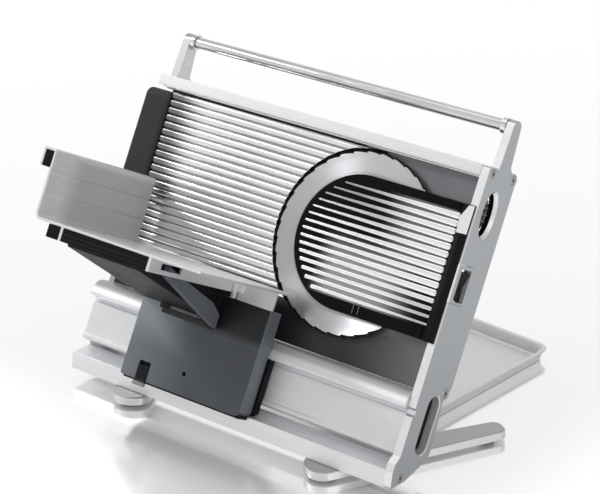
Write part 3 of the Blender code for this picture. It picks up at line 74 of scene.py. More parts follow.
class Wire:
    def __init__(self, paint, socket):
        self.paint = paint
        self.socket = socket

    def maths(self, operation, other, flipped=False):
        pair = [other, self] if flipped else [self, other]
        return self.paint.add("ShaderNodeMath", {"operation": operation}, pair)

    def __add__(self, other):
        return self.maths("ADD", other)

    def __sub__(self, other):
        return self.maths("SUBTRACT", other)

    def __mul__(self, other):
        return self.maths("MULTIPLY", other)

    def __rsub__(self, other):
        return self.maths("SUBTRACT", other, True)

    __radd__ = __add__
    __rmul__ = __mul__


class Bench:
    def __init__(self, tree, shader):
        self.tree = tree
        self.shader = shader

    def feed(self, socket, value):
        if isinstance(socket, str):
            socket = self.shader.inputs[socket]
        if isinstance(value, Wire):
            self.tree.links.new(value.socket, socket)
        elif isinstance(value, (tuple, list)) and len(socket.default_value) == 4:
            socket.default_value = (*value, 1)
        else:
            socket.default_value = value

    def add(self, kind, settings=None, values=(), output=0):
        node = self.tree.nodes.new(kind)
        for key, value in (settings or {}).items():
            setattr(node, key, value)
        for key, value in values.items() if isinstance(values, dict) else enumerate(values):
            self.feed(node.inputs[key], value)
        return Wire(self, node.outputs[output])

    def spread(self, wire, low, high, fromLow=0.3, fromHigh=0.7):
        ends = {"Value": wire, "From Min": fromLow, "From Max": fromHigh, "To Min": low, "To Max": high}
        return self.add("ShaderNodeMapRange", {"interpolation_type": "SMOOTHSTEP"}, ends)


class Paint(Bench):
    def __init__(self, name, color, roughness, metallic=0.0, fixed=None):
        self.material = bpy.data.materials.new(name)
        self.material.use_nodes = True
        self.material.diffuse_color = (*color, 1)
        super().__init__(self.material.node_tree, self.material.node_tree.nodes["Principled BSDF"])
        self.color = color
        values = {"Base Color": color, "Roughness": roughness, "Metallic": metallic, **(fixed or {})}
        for socket, value in values.items():
            self.feed(socket, value)

    def place(self, stretch):
        where = self.add("ShaderNodeTexCoord", output="Object")
        return self.add("ShaderNodeMapping", {}, {"Vector": where, "Scale": stretch})

    def noise(self, stretch, detail=2.0):
        values = {"Vector": self.place(stretch), "Scale": 1.0, "Detail": detail}
        return self.add("ShaderNodeTexNoise", {}, values)

    def tinted(self, share):
        return tuple(min(1.0, channel * share) for channel in self.color)

    def mixed(self, mask, low, high):  # 6, 7 and output 2 are the Mix node's colours
        return self.add("ShaderNodeMix", {"data_type": "RGBA"}, {"Factor": mask, 6: low, 7: high}, 2)

    def shade(self, mask, low, high, dips=()):
        coat = self.mixed(mask, self.tinted(low), self.tinted(high))
        # most dips paint light and shade onto a patch: highlights, reflections and shadows
        for share, limits in dips:  # a tone for where each named axis is on its first limit's side
            level = self.add("ShaderNodeValue")
            for axis, (start, end) in limits.items():
                where = self.add("ShaderNodeTexCoord", output="Object")
                run = self.add("ShaderNodeSeparateXYZ", {}, [where], axis)
                level = level.maths("MAXIMUM", self.spread(run, 0.0, 1.0, start, end))
            coat = self.mixed(level, self.tinted(share), coat)
        self.feed("Base Color", coat)

    def bump(self, height, strength, distance):
        bump = self.add("ShaderNodeBump", {}, {"Height": height, "Strength": strength, "Distance": distance})
        self.feed("Normal", bump)


def brushedMetal(name, look):
    paint = Paint(name, look["color"], look["roughness"], look["metallic"], look.get("fixed"))
    streak = paint.noise(look["streak"], 3.0)
    cloud = paint.noise(look["cloud"])
    streakShare = 0.65
    wear = streak * streakShare + cloud * (1 - streakShare)
    paint.shade(paint.spread(wear, 0.0, 1.0), *look["shades"], look.get("dips", ()))
    low, high = look["rough"]
    paint.feed("Roughness", paint.spread(wear, low, high))
    paint.bump(streak, *look["bump"])
    return paint.material


def mouldedSkin(name, look):
    paint = Paint(name, look["color"], look["roughness"], look.get("metallic", 0.0), look.get("fixed"))
    grain = paint.noise((look["grain"],) * 3)
    cloud = paint.noise((look["cloud"],) * 3)
    paint.shade(paint.spread(cloud, 0.0, 1.0), *look["shades"], look.get("dips", ()))
    low, high = look["rough"]
    paint.feed("Roughness", paint.spread(cloud * 0.5 + grain * 0.5, low, high))
    paint.bump(grain, *look["bump"])
    return paint.material


metalLooks = {
    "plateAlloy": {
        "color": (0.44, 0.455, 0.47), "metallic": 0.75, "roughness": 0.42, "rough": (0.36, 0.5),
        "streak": (900, 60, 900), "cloud": (22, 22, 22), "shades": (0.94, 1.05), "bump": (0.12, 0.00006),
    },
    # a lighter copy of the plate alloy: painted light on the side plate's front faces, rims and slot walls and on
    # the bezel's front, and the clasp's own bright colour
    "edgeAlloy": {
        "color": (0.9, 0.905, 0.915), "metallic": 0.6, "roughness": 0.34, "rough": (0.3, 0.4),
        "streak": (900, 60, 900), "cloud": (22, 22, 22), "shades": (0.96, 1.04), "bump": (0.08, 0.00005),
    },
    "armAlloy": {
        "color": (0.46, 0.467, 0.48), "metallic": 0.7, "roughness": 0.4, "rough": (0.36, 0.46),
        "streak": (900, 60, 900), "cloud": (22, 22, 22), "shades": (0.96, 1.04), "bump": (0.08, 0.00005),
    },
    "guideAlloy": {
        "color": (0.84, 0.845, 0.86), "metallic": 0.6, "roughness": 0.5, "rough": (0.46, 0.56),
        "streak": (18, 900, 900), "cloud": (20, 40, 40), "shades": (0.95, 1.04), "bump": (0.14, 0.00005),
        # painted shade: the rail darker on its upper part, up the panel from y -0.1105
        "dips": [(0.6, {"Y": (-0.1105, -0.1150)})],
    },
    "baseAlloy": {
        "color": (0.86, 0.865, 0.88), "metallic": 0.5, "roughness": 0.36, "rough": (0.3, 0.44),
        "streak": (18, 900, 900), "cloud": (20, 40, 40), "shades": (0.95, 1.04), "bump": (0.1, 0.00005),
    },
    "railAlloy": {
        "color": (0.72, 0.725, 0.74), "metallic": 0.7, "roughness": 0.36, "rough": (0.3, 0.44),
        "streak": (18, 900, 900), "cloud": (20, 40, 40), "shades": (0.95, 1.04), "bump": (0.14, 0.00005),
    },
    "tableAlloy": {
        "color": (0.80, 0.805, 0.815), "metallic": 0.6, "roughness": 0.4, "rough": (0.34, 0.46),
        "streak": (600, 600, 22), "cloud": (18, 18, 18), "shades": (0.94, 1.04), "bump": (0.1, 0.00005),
        # painted shade: the table's wall darker on its part nearer the panel
        "dips": [(0.72, {"X": (-0.2215, -0.2210), "Y": (-0.006, 0.0), "Z": (0.112, 0.14)})],
    },
    "gaugeAlloy": {
        "color": (0.86, 0.865, 0.88), "metallic": 0.85, "roughness": 0.24, "rough": (0.18, 0.3),
        "streak": (20, 800, 800), "cloud": (16, 16, 16), "shades": (0.96, 1.03), "bump": (0.04, 0.00003),
        # painted shade down in the valleys between the ribs, and a painted shadow of the grip along the plate's
        # left end
        "dips": [
            (0.46, {"Z": (-0.0013, -0.0002)}), (0.22, {"X": (-0.236, -0.204)}),
            (0.06, {"Z": (-0.0012, 0.0001), "X": (-0.236, -0.196)}),
        ],
    },
    "ribSilver": {
        "color": (0.95, 0.955, 0.965), "metallic": 0.9, "roughness": 0.22, "rough": (0.18, 0.26),
        "streak": (20, 800, 800), "cloud": (16, 16, 16), "shades": (0.98, 1.01), "bump": (0.015, 0.00002),
        # painted reflection: the ribs darker at the upper left and at the lower right
        "dips": [
            (0.4, {"X": (-0.01, 0.06), "Y": (0.045, 0.01)}),
            (0.6, {"X": (0.09, 0.04), "Y": (-0.042, -0.02)}),
        ],
    },
    "chrome": {
        "color": (0.78, 0.785, 0.80), "metallic": 1.0, "roughness": 0.16, "rough": (0.1, 0.2),
        "streak": (30, 500, 500), "cloud": (20, 20, 20), "shades": (0.96, 1.03), "bump": (0.05, 0.00004),
    },
    "crestAlloy": {
        "color": (0.79, 0.80, 0.81), "metallic": 0.6, "roughness": 0.42, "rough": (0.38, 0.48),
        "streak": (18, 900, 900), "cloud": (20, 40, 40), "shades": (0.96, 1.03), "bump": (0.08, 0.00005),
    },
    "barAlloy": {
        "color": (0.66, 0.67, 0.68), "metallic": 0.95, "roughness": 0.2, "rough": (0.16, 0.24),
        "streak": (400, 400, 30), "cloud": (30, 30, 30), "shades": (0.96, 1.03), "bump": (0.05, 0.00004),
        # painted shade along the lower side of the bar, except at its right part; the last tone takes it off again
        # at the left end
        "dips": [(0.45, {"Y": (0.1343, 0.1355), "Z": (-0.01, 0.05)}), (1.0, {"Z": (-0.235, -0.2)})],
    },
    "footAlloy": {
        "color": (0.80, 0.805, 0.82), "metallic": 0.75, "roughness": 0.36, "rough": (0.32, 0.4),
        "streak": (60, 60, 60), "cloud": (30, 30, 30), "shades": (0.98, 1.02), "bump": (0.02, 0.00003),
        # painted shade: the foot bar's top face and rounded top edge darker than its sides
        "dips": [(0.55, {"Z": (0.0, -0.0009)})],
    },
    "screwSteel": {
        "color": (0.34, 0.345, 0.355), "metallic": 1.0, "roughness": 0.26, "rough": (0.2, 0.34),
        "streak": (400, 400, 400), "cloud": (60, 60, 60), "shades": (0.85, 1.1), "bump": (0.08, 0.00004),
    },
    "castAlloy": {
        "color": (0.50, 0.51, 0.52), "metallic": 0.8, "roughness": 0.5, "rough": (0.42, 0.58),
        "streak": (500, 500, 500), "cloud": (50, 50, 50), "shades": (0.9, 1.06), "bump": (0.2, 0.0001),
    },
    "wheelBrass": {
        "color": (0.70, 0.50, 0.20), "metallic": 1.0, "roughness": 0.3, "rough": (0.24, 0.38),
        "streak": (300, 300, 300), "cloud": (40, 40, 40), "shades": (0.9, 1.06), "bump": (0.1, 0.00005),
    },
}
skinLooks = {
    "slateCoat": {
        "color": (0.074, 0.081, 0.089), "roughness": 0.42, "metallic": 0.3, "rough": (0.36, 0.5),
        "grain": 1400, "cloud": 25, "shades": (0.92, 1.08), "bump": (0.12, 0.00005),
        # painted light lighter to the left, at the upper left and on the right-hand flange; a painted shadow at
        # the upper right under the arm and table; and darker along the bottom edge
        "dips": [
            (2.7, {"X": (-0.2, -0.09)}), (4.2, {"X": (-0.182, -0.115), "Y": (-0.114, -0.15)}),
            (0.16, {"X": (-0.122, -0.135), "Y": (-0.107, -0.117)}),
            (0.2, {"Y": (-0.1792, -0.1784)}), (2.4, {"X": (-0.0421, -0.0427)}),
        ],
    },
    "armCoat": {
        "color": (0.012, 0.013, 0.0145), "roughness": 0.5, "rough": (0.44, 0.56), "grain": 1400,
        "cloud": 25, "fixed": {"Specular IOR Level": 0.2}, "shades": (0.92, 1.08), "bump": (0.08, 0.00005),
        # painted light: the strut on the arm's right side much lighter than the rest
        "dips": [(11.0, {"X": (-0.0975, -0.0985)})],
    },
    "hingeCoat": {
        "color": (0.045, 0.048, 0.052), "roughness": 0.5, "rough": (0.44, 0.56), "grain": 1400, "cloud": 25,
        "fixed": {"Specular IOR Level": 0.2}, "shades": (0.92, 1.08), "bump": (0.08, 0.00005),
    },
    "panelCoat": {
        "color": (0.19, 0.198, 0.208), "roughness": 0.42, "metallic": 0.5, "rough": (0.38, 0.48),
        "grain": 1400, "cloud": 20, "shades": (0.94, 1.06), "bump": (0.1, 0.00005),
        # painted shade: darker at the lower left, under the blade and cover, and in a band at the upper left under
        # the top rail
        "dips": [
            (0.2, {"Y": (-0.075, -0.06), "X": (0.02, 0.13)}),
            (0.06, {"X": (-0.0215, -0.018), "Y": (0.08, 0.075)}),
        ],
    },
    "coverGloss": {
        "color": (0.008, 0.0081, 0.0082), "roughness": 0.1, "rough": (0.07, 0.13), "grain": 700,
        "cloud": 30, "fixed": {"Specular IOR Level": 0.04}, "shades": (0.9, 1.1), "bump": (0.02, 0.00003),
        # painted reflection: the black between the ribs greyer in a patch at the lower left and one at the upper
        # right; the last three tones keep it plain at the left end, below the ribs and in the band above them
        "dips": [
            (46.0, {"X": (0.03, 0.085), "Y": (-0.02, 0.010)}),
            (22.0, {"X": (0.055, 0.020), "Y": (0.008, -0.012)}),
            (1.0, {"X": (-0.035, -0.01)}), (1.0, {"Y": (-0.0515, -0.0505)}), (1.0, {"Y": (0.0545, 0.0535)}),
        ],
    },
    "blackMoulding": {
        "color": (0.006, 0.006, 0.007), "roughness": 0.42, "rough": (0.36, 0.52), "grain": 1800,
        "cloud": 40, "fixed": {"Specular IOR Level": 0.1}, "shades": (0.88, 1.12), "bump": (0.22, 0.00008),
    },
    "wheelMoulding": {
        "color": (0.085, 0.087, 0.091), "roughness": 0.4, "rough": (0.34, 0.46), "grain": 1800, "cloud": 40,
        "fixed": {"Specular IOR Level": 0.5}, "shades": (0.88, 1.12), "bump": (0.1, 0.00006),
    },
    "lockMoulding": {
        "color": (0.008, 0.0081, 0.0082), "roughness": 0.3, "rough": (0.26, 0.36), "grain": 1800,
        "cloud": 40, "fixed": {"Specular IOR Level": 0.2}, "shades": (0.88, 1.12), "bump": (0.1, 0.00006),
        "dips": [(40.0, {"Y": (-0.1802, -0.1796)})],
    },
    "gripMoulding": {
        "color": (0.016, 0.017, 0.019), "roughness": 0.42, "rough": (0.36, 0.52), "grain": 1800,
        "cloud": 40, "fixed": {"Specular IOR Level": 0.42}, "shades": (0.88, 1.12), "bump": (0.22, 0.00008),
        "dips": [(0.1, {"X": (-0.248, -0.2485)})],
    },
    # black, and painted shade: the cover's flange is black in its own colour, while the blade's ground edge, the
    # gauge's arc wall, the ring behind the blade, the wheel window's wall and the slot webs wear it as painted
    # shade
    "blackAndShade": {
        "color": (0.006, 0.006, 0.007), "roughness": 0.6, "rough": (0.55, 0.65), "grain": 900, "cloud": 40,
        "fixed": {"Specular IOR Level": 0.1}, "shades": (0.9, 1.1), "bump": (0.1, 0.00005),
    },
    "padRubber": {
        "color": (0.012, 0.012, 0.012), "roughness": 0.85, "rough": (0.78, 0.92), "grain": 900, "cloud": 60,
        "shades": (0.85, 1.15), "bump": (0.3, 0.0001),
    },
}
finish = {name: brushedMetal(name, look) for name, look in metalLooks.items()}
finish.update({name: mouldedSkin(name, look) for name, look in skinLooks.items()})


def bladeSteel():
    look = {
        "color": (0.60, 0.605, 0.62), "metallic": 1.0, "roughness": 0.3, "rough": (0.3, 0.33),
        "rings": 2600, "cloud": (24, 24, 24), "shades": (0.95, 1.04), "bump": (0.06, 0.00002),
        "spun": 0.93, "across": 0.25,
    }
    spun = {"Anisotropic": look["spun"], "Anisotropic Rotation": look["across"]}
    paint = Paint("bladeSteel", look["color"], look["roughness"], look["metallic"], spun)
    where = paint.add("ShaderNodeTexCoord", output="Object")
    flat = paint.add("ShaderNodeVectorMath", {"operation": "MULTIPLY"}, [where, (1, 1, 0)])
    radius = paint.add("ShaderNodeVectorMath", {"operation": "LENGTH"}, [flat], "Value")
    grain = {"W": radius * look["rings"], "Scale": 1.0, "Detail": 2.0}
    grind = paint.add("ShaderNodeTexNoise", {"noise_dimensions": "1D"}, grain)
    cloud = paint.noise(look["cloud"])
    paint.shade(paint.spread(grind * 0.5 + cloud * 0.5, 0.0, 1.0), *look["shades"])
    paint.feed("Roughness", paint.spread(cloud, *look["rough"]))
    paint.bump(grind, *look["bump"])
    return paint.material


finish["bladeSteel"] = bladeSteel()
print("finishes made:", len(finish))


# Making and fitting pieces

facingWay = 0.8  # a face looks a way when its normal goes at least this far along it


def newPiece(name, mesh, place, coat, sharp=30):  # sharp: degrees from which an edge stays crisp
    data = bpy.data.meshes.new(name)
    bmesh.ops.recalc_face_normals(mesh, faces=mesh.faces)
    mesh.to_mesh(data)
    mesh.free()
    data.shade_smooth()
    if sharp:
        data.set_sharp_from_angle(angle=math.radians(sharp))
    data.materials.append(coat)
    piece = bpy.data.objects.new(name, data)
    bpy.context.scene.collection.objects.link(piece)
    piece.matrix_world = place
    return piece


def fit(piece, *replaced, like=None):
    node = like or replaced[0]
    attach(piece, bodyOf[node])
    if replaced:
        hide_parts(*replaced)
    return piece


def soften(piece, width, segments):
    cornerAngle = 28  # degrees
    bevel = piece.modifiers.new("edges", "BEVEL")
    bevel.width = width
    bevel.segments = segments
    bevel.limit_method = "ANGLE"
    bevel.angle_limit = math.radians(cornerAngle)
    bevel.harden_normals = True
    bevel.use_clamp_overlap = True
    weighted = piece.modifiers.new("flats", "WEIGHTED_NORMAL")
    weighted.keep_sharp = True


def meshOf(node, place):
    weld, flat = 0.00001, 1.0  # metres between points, and degrees between faces, that become one
    mesh = bmesh.new()
    mesh.from_mesh(nodes[node].data)
    bmesh.ops.transform(mesh, matrix=place.inverted(), verts=mesh.verts)
    bmesh.ops.remove_doubles(mesh, verts=mesh.verts, dist=weld)
    bmesh.ops.dissolve_limit(mesh, angle_limit=math.radians(flat), verts=mesh.verts, edges=mesh.edges)
    return mesh


def refined(node, coat, width, segments=2, place=panel, front=None):
    piece = newPiece(node + "_dressed", meshOf(node, place), place, finish[coat], sharp=None)
    if front:  # faces that look out of the panel take a coat of their own; where that is the bright alloy, its lightness is painted light
        piece.data.materials.append(finish[front])
        for face in piece.data.polygons:
            facing = (place.to_3x3() @ face.normal).dot(outOfPanel)
            face.material_index = int(facing > facingWay)
    soften(piece, width, segments)
    return fit(piece, node)


def dressAll(looks):  # what refined() takes after each node's name
    for node, look in looks.items():
        refined(node, *look)


def addRings(mesh, rings):
    rows = [[mesh.verts.new(point) for point in ring] for ring in rings]
    sides = []
    for low, high in zip(rows, rows[1:]):
        for i in range(len(low)):
            j = (i + 1) % len(low)
            sides.append(mesh.faces.new((low[i], low[j], high[j], high[i])))
    mesh.faces.new(list(reversed(rows[0])))
    mesh.faces.new(rows[-1])
    return sides


def ringsMesh(rings):
    mesh = bmesh.new()
    addRings(mesh, rings)
    return mesh


def stacked(levels):  # outlines in x and y, each at its own height
    return ringsMesh([[(x, y, height) for x, y in outline] for outline, height in levels])


def plateMesh(outline, low, high, edge):  # a plate whose upper rim is drawn in and down by its edge
    middle = Vector((sum(x for x, y in outline), sum(y for x, y in outline))) / len(outline)
    drawn = []
    for point in outline:
        spoke = middle - Vector(point)
        drawn.append(tuple(Vector(point) + spoke.normalized() * edge))
    return stacked(((outline, low), (outline, high - edge), (drawn, high)))


def rectangle(left, right, low, high):
    return [(left, low), (right, low), (right, high), (left, high)]


def arc(x, y, radius, start, end, steps):
    turns = [math.radians(start + (end - start) * i / steps) for i in range(steps + 1)]
    return [(x + radius * math.cos(turn), y + radius * math.sin(turn)) for turn in turns]


def lathe(profile, steps=64, middle=(0, 0)):
    spokes = [(math.cos(2 * math.pi * i / steps), math.sin(2 * math.pi * i / steps)) for i in range(steps)]
    rings = []
    for radius, height in profile:
        rings.append([(middle[0] + radius * x, middle[1] + radius * y, height) for x, y in spokes])
    return ringsMesh(rings)


def swept(profile, start, end, steps=72):
    rings = []
    for i in range(steps + 1):
        turn = math.radians(start + (end - start) * i / steps)
        rings.append([(radius * math.cos(turn), radius * math.sin(turn), z) for radius, z in profile])
    return ringsMesh(rings)


def roundOf(low, high):  # the middle and the radius of a round piece from its box
    return ((low.x + high.x) / 2, (low.y + high.y) / 2), (high.x - low.x) / 2


# Blade: sharp leaning teeth round a conical grind, with a shallow dish inside it.

def buildBlade():
    teeth = {
        "count": 36, "depth": 0.0014, "steps": 14, "rim": 0.0019,
        "lean": 0.08, "full": 0.8, "swell": 0.8,  # shares of a tooth's pitch, and how fast it rises
    }
    seat = {"outer": 0.0648, "inner": 0.0643, "deep": 0.0004, "wall": 0.0001}
    grind = {
        "edge": 0.0003, "flat": 0.00003, "land": 0.0004, "inner": 0.0775, "front": -0.0009, "back": -0.0032,
        "dish": 0.0605, "dishFront": -0.0023, "dishBack": -0.0042, "web": 0.02, "webDrop": 0.0008,
        "dark": -0.00002,  # the faces outside inner that lie higher are the ground edge, which takes painted shade
    }
    tip = span("blade")[1].x
    around = teeth["count"] * teeth["steps"]

    def ring(radius, height, bite=0.0):
        points = []
        for i in range(around):
            share = (i % teeth["steps"]) / teeth["steps"]
            if share < teeth["lean"]:
                rise = 1 - math.sin(share / teeth["lean"] * math.pi / 2)
            else:
                rise = min(1.0, (share - teeth["lean"]) / (teeth["full"] - teeth["lean"])) ** teeth["swell"]
            turn = 2 * math.pi * i / around
            size = radius - bite * (1 - rise)
            points.append((size * math.cos(turn), size * math.sin(turn), height))
        return points

    def between(start, end, steps):
        return [tuple(a + (b - a) * i / steps for a, b in zip(start, end)) for i in range(steps)]

    inner, dish = grind["inner"], grind["dish"]
    web = dish - grind["web"]
    behind = between((web, grind["dishBack"]), (inner, grind["back"]), 3) + [(inner, grind["back"])]
    edge = [(tip, -grind["edge"]), (tip, 0), (tip - teeth["rim"], -grind["flat"])]
    land = tip - teeth["depth"] - teeth["rim"] - grind["land"]
    slope = (grind["front"] - grind["dishFront"]) / (inner - dish)
    rim = {name: grind["dishFront"] + slope * (seat[name] - dish) for name in ("outer", "inner")}
    front = between((land, -grind["edge"]), (inner, grind["front"]), 3)
    front += between((inner, grind["front"]), (seat["outer"], rim["outer"]), 4)
    front += [(seat["outer"], rim["outer"]), (seat["outer"] - seat["wall"], rim["outer"] - seat["deep"])]
    front += [(seat["inner"] + seat["wall"], rim["inner"] - seat["deep"]), (seat["inner"], rim["inner"])]
    front += [(dish, grind["dishFront"]), (web, grind["dishFront"] - grind["webDrop"])]
    rings = [ring(radius, height) for radius, height in behind]
    rings += [ring(radius, height, teeth["depth"]) for radius, height in edge]
    rings += [ring(radius, height) for radius, height in front]
    piece = newPiece("cutting_disc", ringsMesh(rings), panel, finish["bladeSteel"])
    piece.data.materials.append(finish["blackAndShade"])  # painted shade: the ground edge is dark for the shadowed gap and gullets round the teeth
    for face in piece.data.polygons:
        at = face.center
        face.material_index = int(at.z > grind["dark"] and math.hypot(at.x, at.y) > inner)
    fit(piece, "blade")
    buildGapShade()
    print("blade cut:", teeth["count"], "teeth")


def buildGapShade():  # a black ring behind the gap between the gauge plate and the blade's edge: painted shade that also keeps daylight out of the gap
    gapShade = {
        "inner": 0.074, "wall": 0.0857, "outer": 0.0863, "back": -0.0058, "web": -0.0048, "front": -0.0012,
        "start": 88, "end": 232,
    }
    inner, wall, outer = gapShade["inner"], gapShade["wall"], gapShade["outer"]
    profile = [(inner, gapShade["back"]), (outer, gapShade["back"]), (outer, gapShade["front"])]
    profile += [(wall, gapShade["front"]), (wall, gapShade["web"]), (inner, gapShade["web"])]
    mesh = swept(profile, gapShade["start"], gapShade["end"])
    fit(newPiece("blade_gap_shade", mesh, panel, finish["blackAndShade"]), like="back_panel")


buildBlade()


# Ribbed surfaces: rows of rounded ribs on the cover and on the gauge plate.

def ribSection(half, height, steps):
    boxy = {"across": 0.8, "up": 0.85}  # below 1 the section is squarer than a half ellipse
    points = []
    for i in range(steps + 1):
        turn = math.pi * i / steps
        squared = abs(math.cos(turn)) ** boxy["across"] * math.copysign(1, math.cos(turn))
        points.append((half * squared, height * math.sin(turn) ** boxy["up"]))
    return points


def buildCoverRibs():
    rib = {
        "pitch": 0.007, "count": 15, "first": -0.048, "height": 0.0014, "base": 0.0024,
        "leftRadius": 0.0562, "right": 0.0988, "steps": 10,
        "section": ((1.0, -0.3), (1.0, 0.2), (0.92, 0.55), (0.76, 0.82), (0.52, 0.95), (0.22, 1.0)),
    }
    # left ends grow finer upwards, and the four lowest right ends are finer than the rest
    taper = {
        "lowStart": 0.0023, "start": 0.0009, "quicker": 1.4,
        "lowEnds": (0.0011, 0.0015, 0.0019, 0.0023), "end": 0.003,
    }
    mesh = bmesh.new()
    for i in range(rib["count"]):
        middle = rib["first"] + i * rib["pitch"]
        climb = min(1.0, i / (rib["count"] - 1) * taper["quicker"])
        start = taper["lowStart"] + (taper["start"] - taper["lowStart"]) * climb
        end = taper["lowEnds"][i] if i < len(taper["lowEnds"]) else taper["end"]
        left = start - math.sqrt(rib["leftRadius"] ** 2 - middle**2)
        right = rib["right"] - end
        rings = []
        for share, rise in rib["section"]:
            outline = arc(left, middle, start * share, 90, 270, rib["steps"])
            outline += arc(right, middle, end * share, -90, 90, rib["steps"])
            rings.append([(x, y, rib["base"] + rib["height"] * rise) for x, y in outline])
        addRings(mesh, rings)
    piece = newPiece("cover_ribs", mesh, panel, finish["ribSilver"], sharp=50)
    fit(piece, like="blade_cover")


def buildCoverTrim(top):
    tab = {
        "outline": [(0.1032, 0.0358), (0.1136, 0.0362), (0.1136, 0.0616), (0.1081, 0.0613), (0.1020, 0.0491)],
        "sunk": 0.0002, "thick": 0.0007, "edge": 0.0003,
    }
    mesh = plateMesh(tab["outline"], top - tab["sunk"], top + tab["thick"], tab["edge"])
    piece = newPiece("cover_tab", mesh, panel, finish["ribSilver"])
    fit(piece, like="blade_cover")
    line = {
        "half": 0.00022, "beside": 0.0001, "over": 0.001, "sunk": 0.0012, "proud": 0.00006, "edge": 0.0001,
    }
    low, high = span("cover_latch")
    for side, x in (("left", low.x - line["beside"]), ("right", high.x + line["beside"])):
        outline = rectangle(x - line["half"], x + line["half"], low.y, high.y + line["over"])
        mesh = plateMesh(outline, high.z - line["sunk"], high.z + line["proud"], line["edge"])
        fit(newPiece("latch_edge_" + side, mesh, panel, finish["screwSteel"]), like="cover_latch")


def flangeSection(right, back, front, flange):
    ramp, end, top, corner = (flange[name] for name in ("ramp", "end", "top", "corner"))
    under = top - flange["thick"]
    inside = ramp + flange["shoulder"]
    section = [(right - flange["lap"], back), (right - flange["lap"], front)]
    section += [(right - flange["bend"], front), (right + flange["bend"], front + flange["lift"])]
    section += [(ramp - flange["shoulder"], top - flange["drop"]), (ramp + flange["crest"], top)]
    section += [(end - corner, top), (end, top - corner), (end, under)]
    return section + [(inside, under), (inside, top - flange["heel"]), (right + flange["toe"], back)]


def buildCover():
    plate = {"radius": 0.062, "right": 0.0975, "back": 0.0004, "front": 0.0024, "edge": 0.0006, "steps": 72}
    flange = {
        "ramp": 0.1065, "end": 0.1140, "top": 0.0105, "thick": 0.0012, "lap": 0.003, "bend": 0.0006,
        "lift": 0.0007, "shoulder": 0.0009, "drop": 0.0008, "crest": 0.0005, "corner": 0.0004,
        "heel": 0.0021, "toe": 0.0014,
    }
    boss = {"radius": 0.058, "foot": 0.0565, "back": -0.0017, "shoulder": -0.0010, "front": 0.0010}
    radius, right, edge = plate["radius"], plate["right"], plate["edge"]
    back, front = plate["back"], plate["front"]
    outline = [(right, radius)] + arc(0, 0, radius, 90, 270, plate["steps"]) + [(right, -radius)]
    drawn = [(x + (edge if x < 0 else 0), y * (1 - edge / radius)) for x, y in outline]
    mesh = stacked(((outline, back), (outline, front - edge), (drawn, front)))
    fit(newPiece("cover_plate", mesh, panel, finish["coverGloss"]), "blade_cover")
    section = flangeSection(right, back, front, flange)
    mesh = ringsMesh([[(x, y, z) for x, z in section] for y in (-radius, radius)])
    fit(newPiece("cover_flange", mesh, panel, finish["blackAndShade"], sharp=24), like="blade_cover")
    wide = boss["radius"]
    profile = [(boss["foot"], boss["back"]), (wide, boss["shoulder"]), (wide, boss["front"])]
    fit(newPiece("cover_boss", lathe(profile), panel, finish["coverGloss"]), like="blade_cover")
    refined("cover_latch", "coverGloss", 0.0004)
    buildCoverTrim(flange["top"])
    buildCoverRibs()
    print("cover built")


buildCover()


def buildGauge():
    gauge = {
        "pitch": 0.007, "count": 21, "first": 0.082, "half": 0.003, "valley": -0.0014, "crest": 0.0,
        "back": -0.0032, "arc": 0.0868, "steps": 12, "inside": 0.00001,
    }
    low, high = span("gauge_plate")
    valley, back = gauge["valley"], gauge["back"]
    section = ribSection(gauge["half"], gauge["crest"] - valley, gauge["steps"])
    samples = [(high.y, valley)]
    for i in range(gauge["count"]):
        middle = gauge["first"] - i * gauge["pitch"]
        samples += [(min(middle + y, high.y - gauge["inside"]), valley + z) for y, z in section]
    samples.append((low.y, valley))
    rings = []
    for y, z in samples:
        right = min(high.x, -math.sqrt(gauge["arc"] ** 2 - y * y))
        rings.append([(low.x, y, z), (right, y, z), (right, y, back), (low.x, y, back)])
    mesh = bmesh.new()
    for wall in addRings(mesh, rings)[1::4]:  # the wall along the blade's arc, one face in each four, takes painted shade
        wall.material_index = 1
    piece = newPiece("ribbed_plate", mesh, panel, finish["gaugeAlloy"], sharp=48)
    piece.data.materials.append(finish["blackAndShade"])
    fit(piece, "gauge_plate")
    buildGrip()
    print("gauge built")


def buildGrip():
    grip = {
        "ridges": 46, "corner": 0.007, "left": 0.00264, "right": 0.0012, "rise": 0.00045, "sunk": 0.0006,
        "foot": 0.36, "crest": 0.14,
    }
    refined("gauge_grip", "gripMoulding", 0.0008)
    low, high = span("gauge_grip")
    pitch = (high.y - low.y - 2 * grip["corner"]) / grip["ridges"]
    foot, crest = pitch * grip["foot"], pitch * grip["crest"]
    base, top = high.z - grip["sunk"], high.z + grip["rise"]
    ends = (low.x + grip["left"], high.x - grip["right"])
    mesh = bmesh.new()
    for i in range(grip["ridges"]):
        y = low.y + grip["corner"] + pitch * (i + 0.5)
        section = [(y - foot, base), (y - crest, top), (y + crest, top), (y + foot, base)]
        addRings(mesh, [[(x, along, height) for along, height in section] for x in ends])
    fit(newPiece("grip_ridges", mesh, panel, finish["gripMoulding"]), like="gauge_grip")


buildGauge()


# Frame: plates, rails, panel, feet and bar.

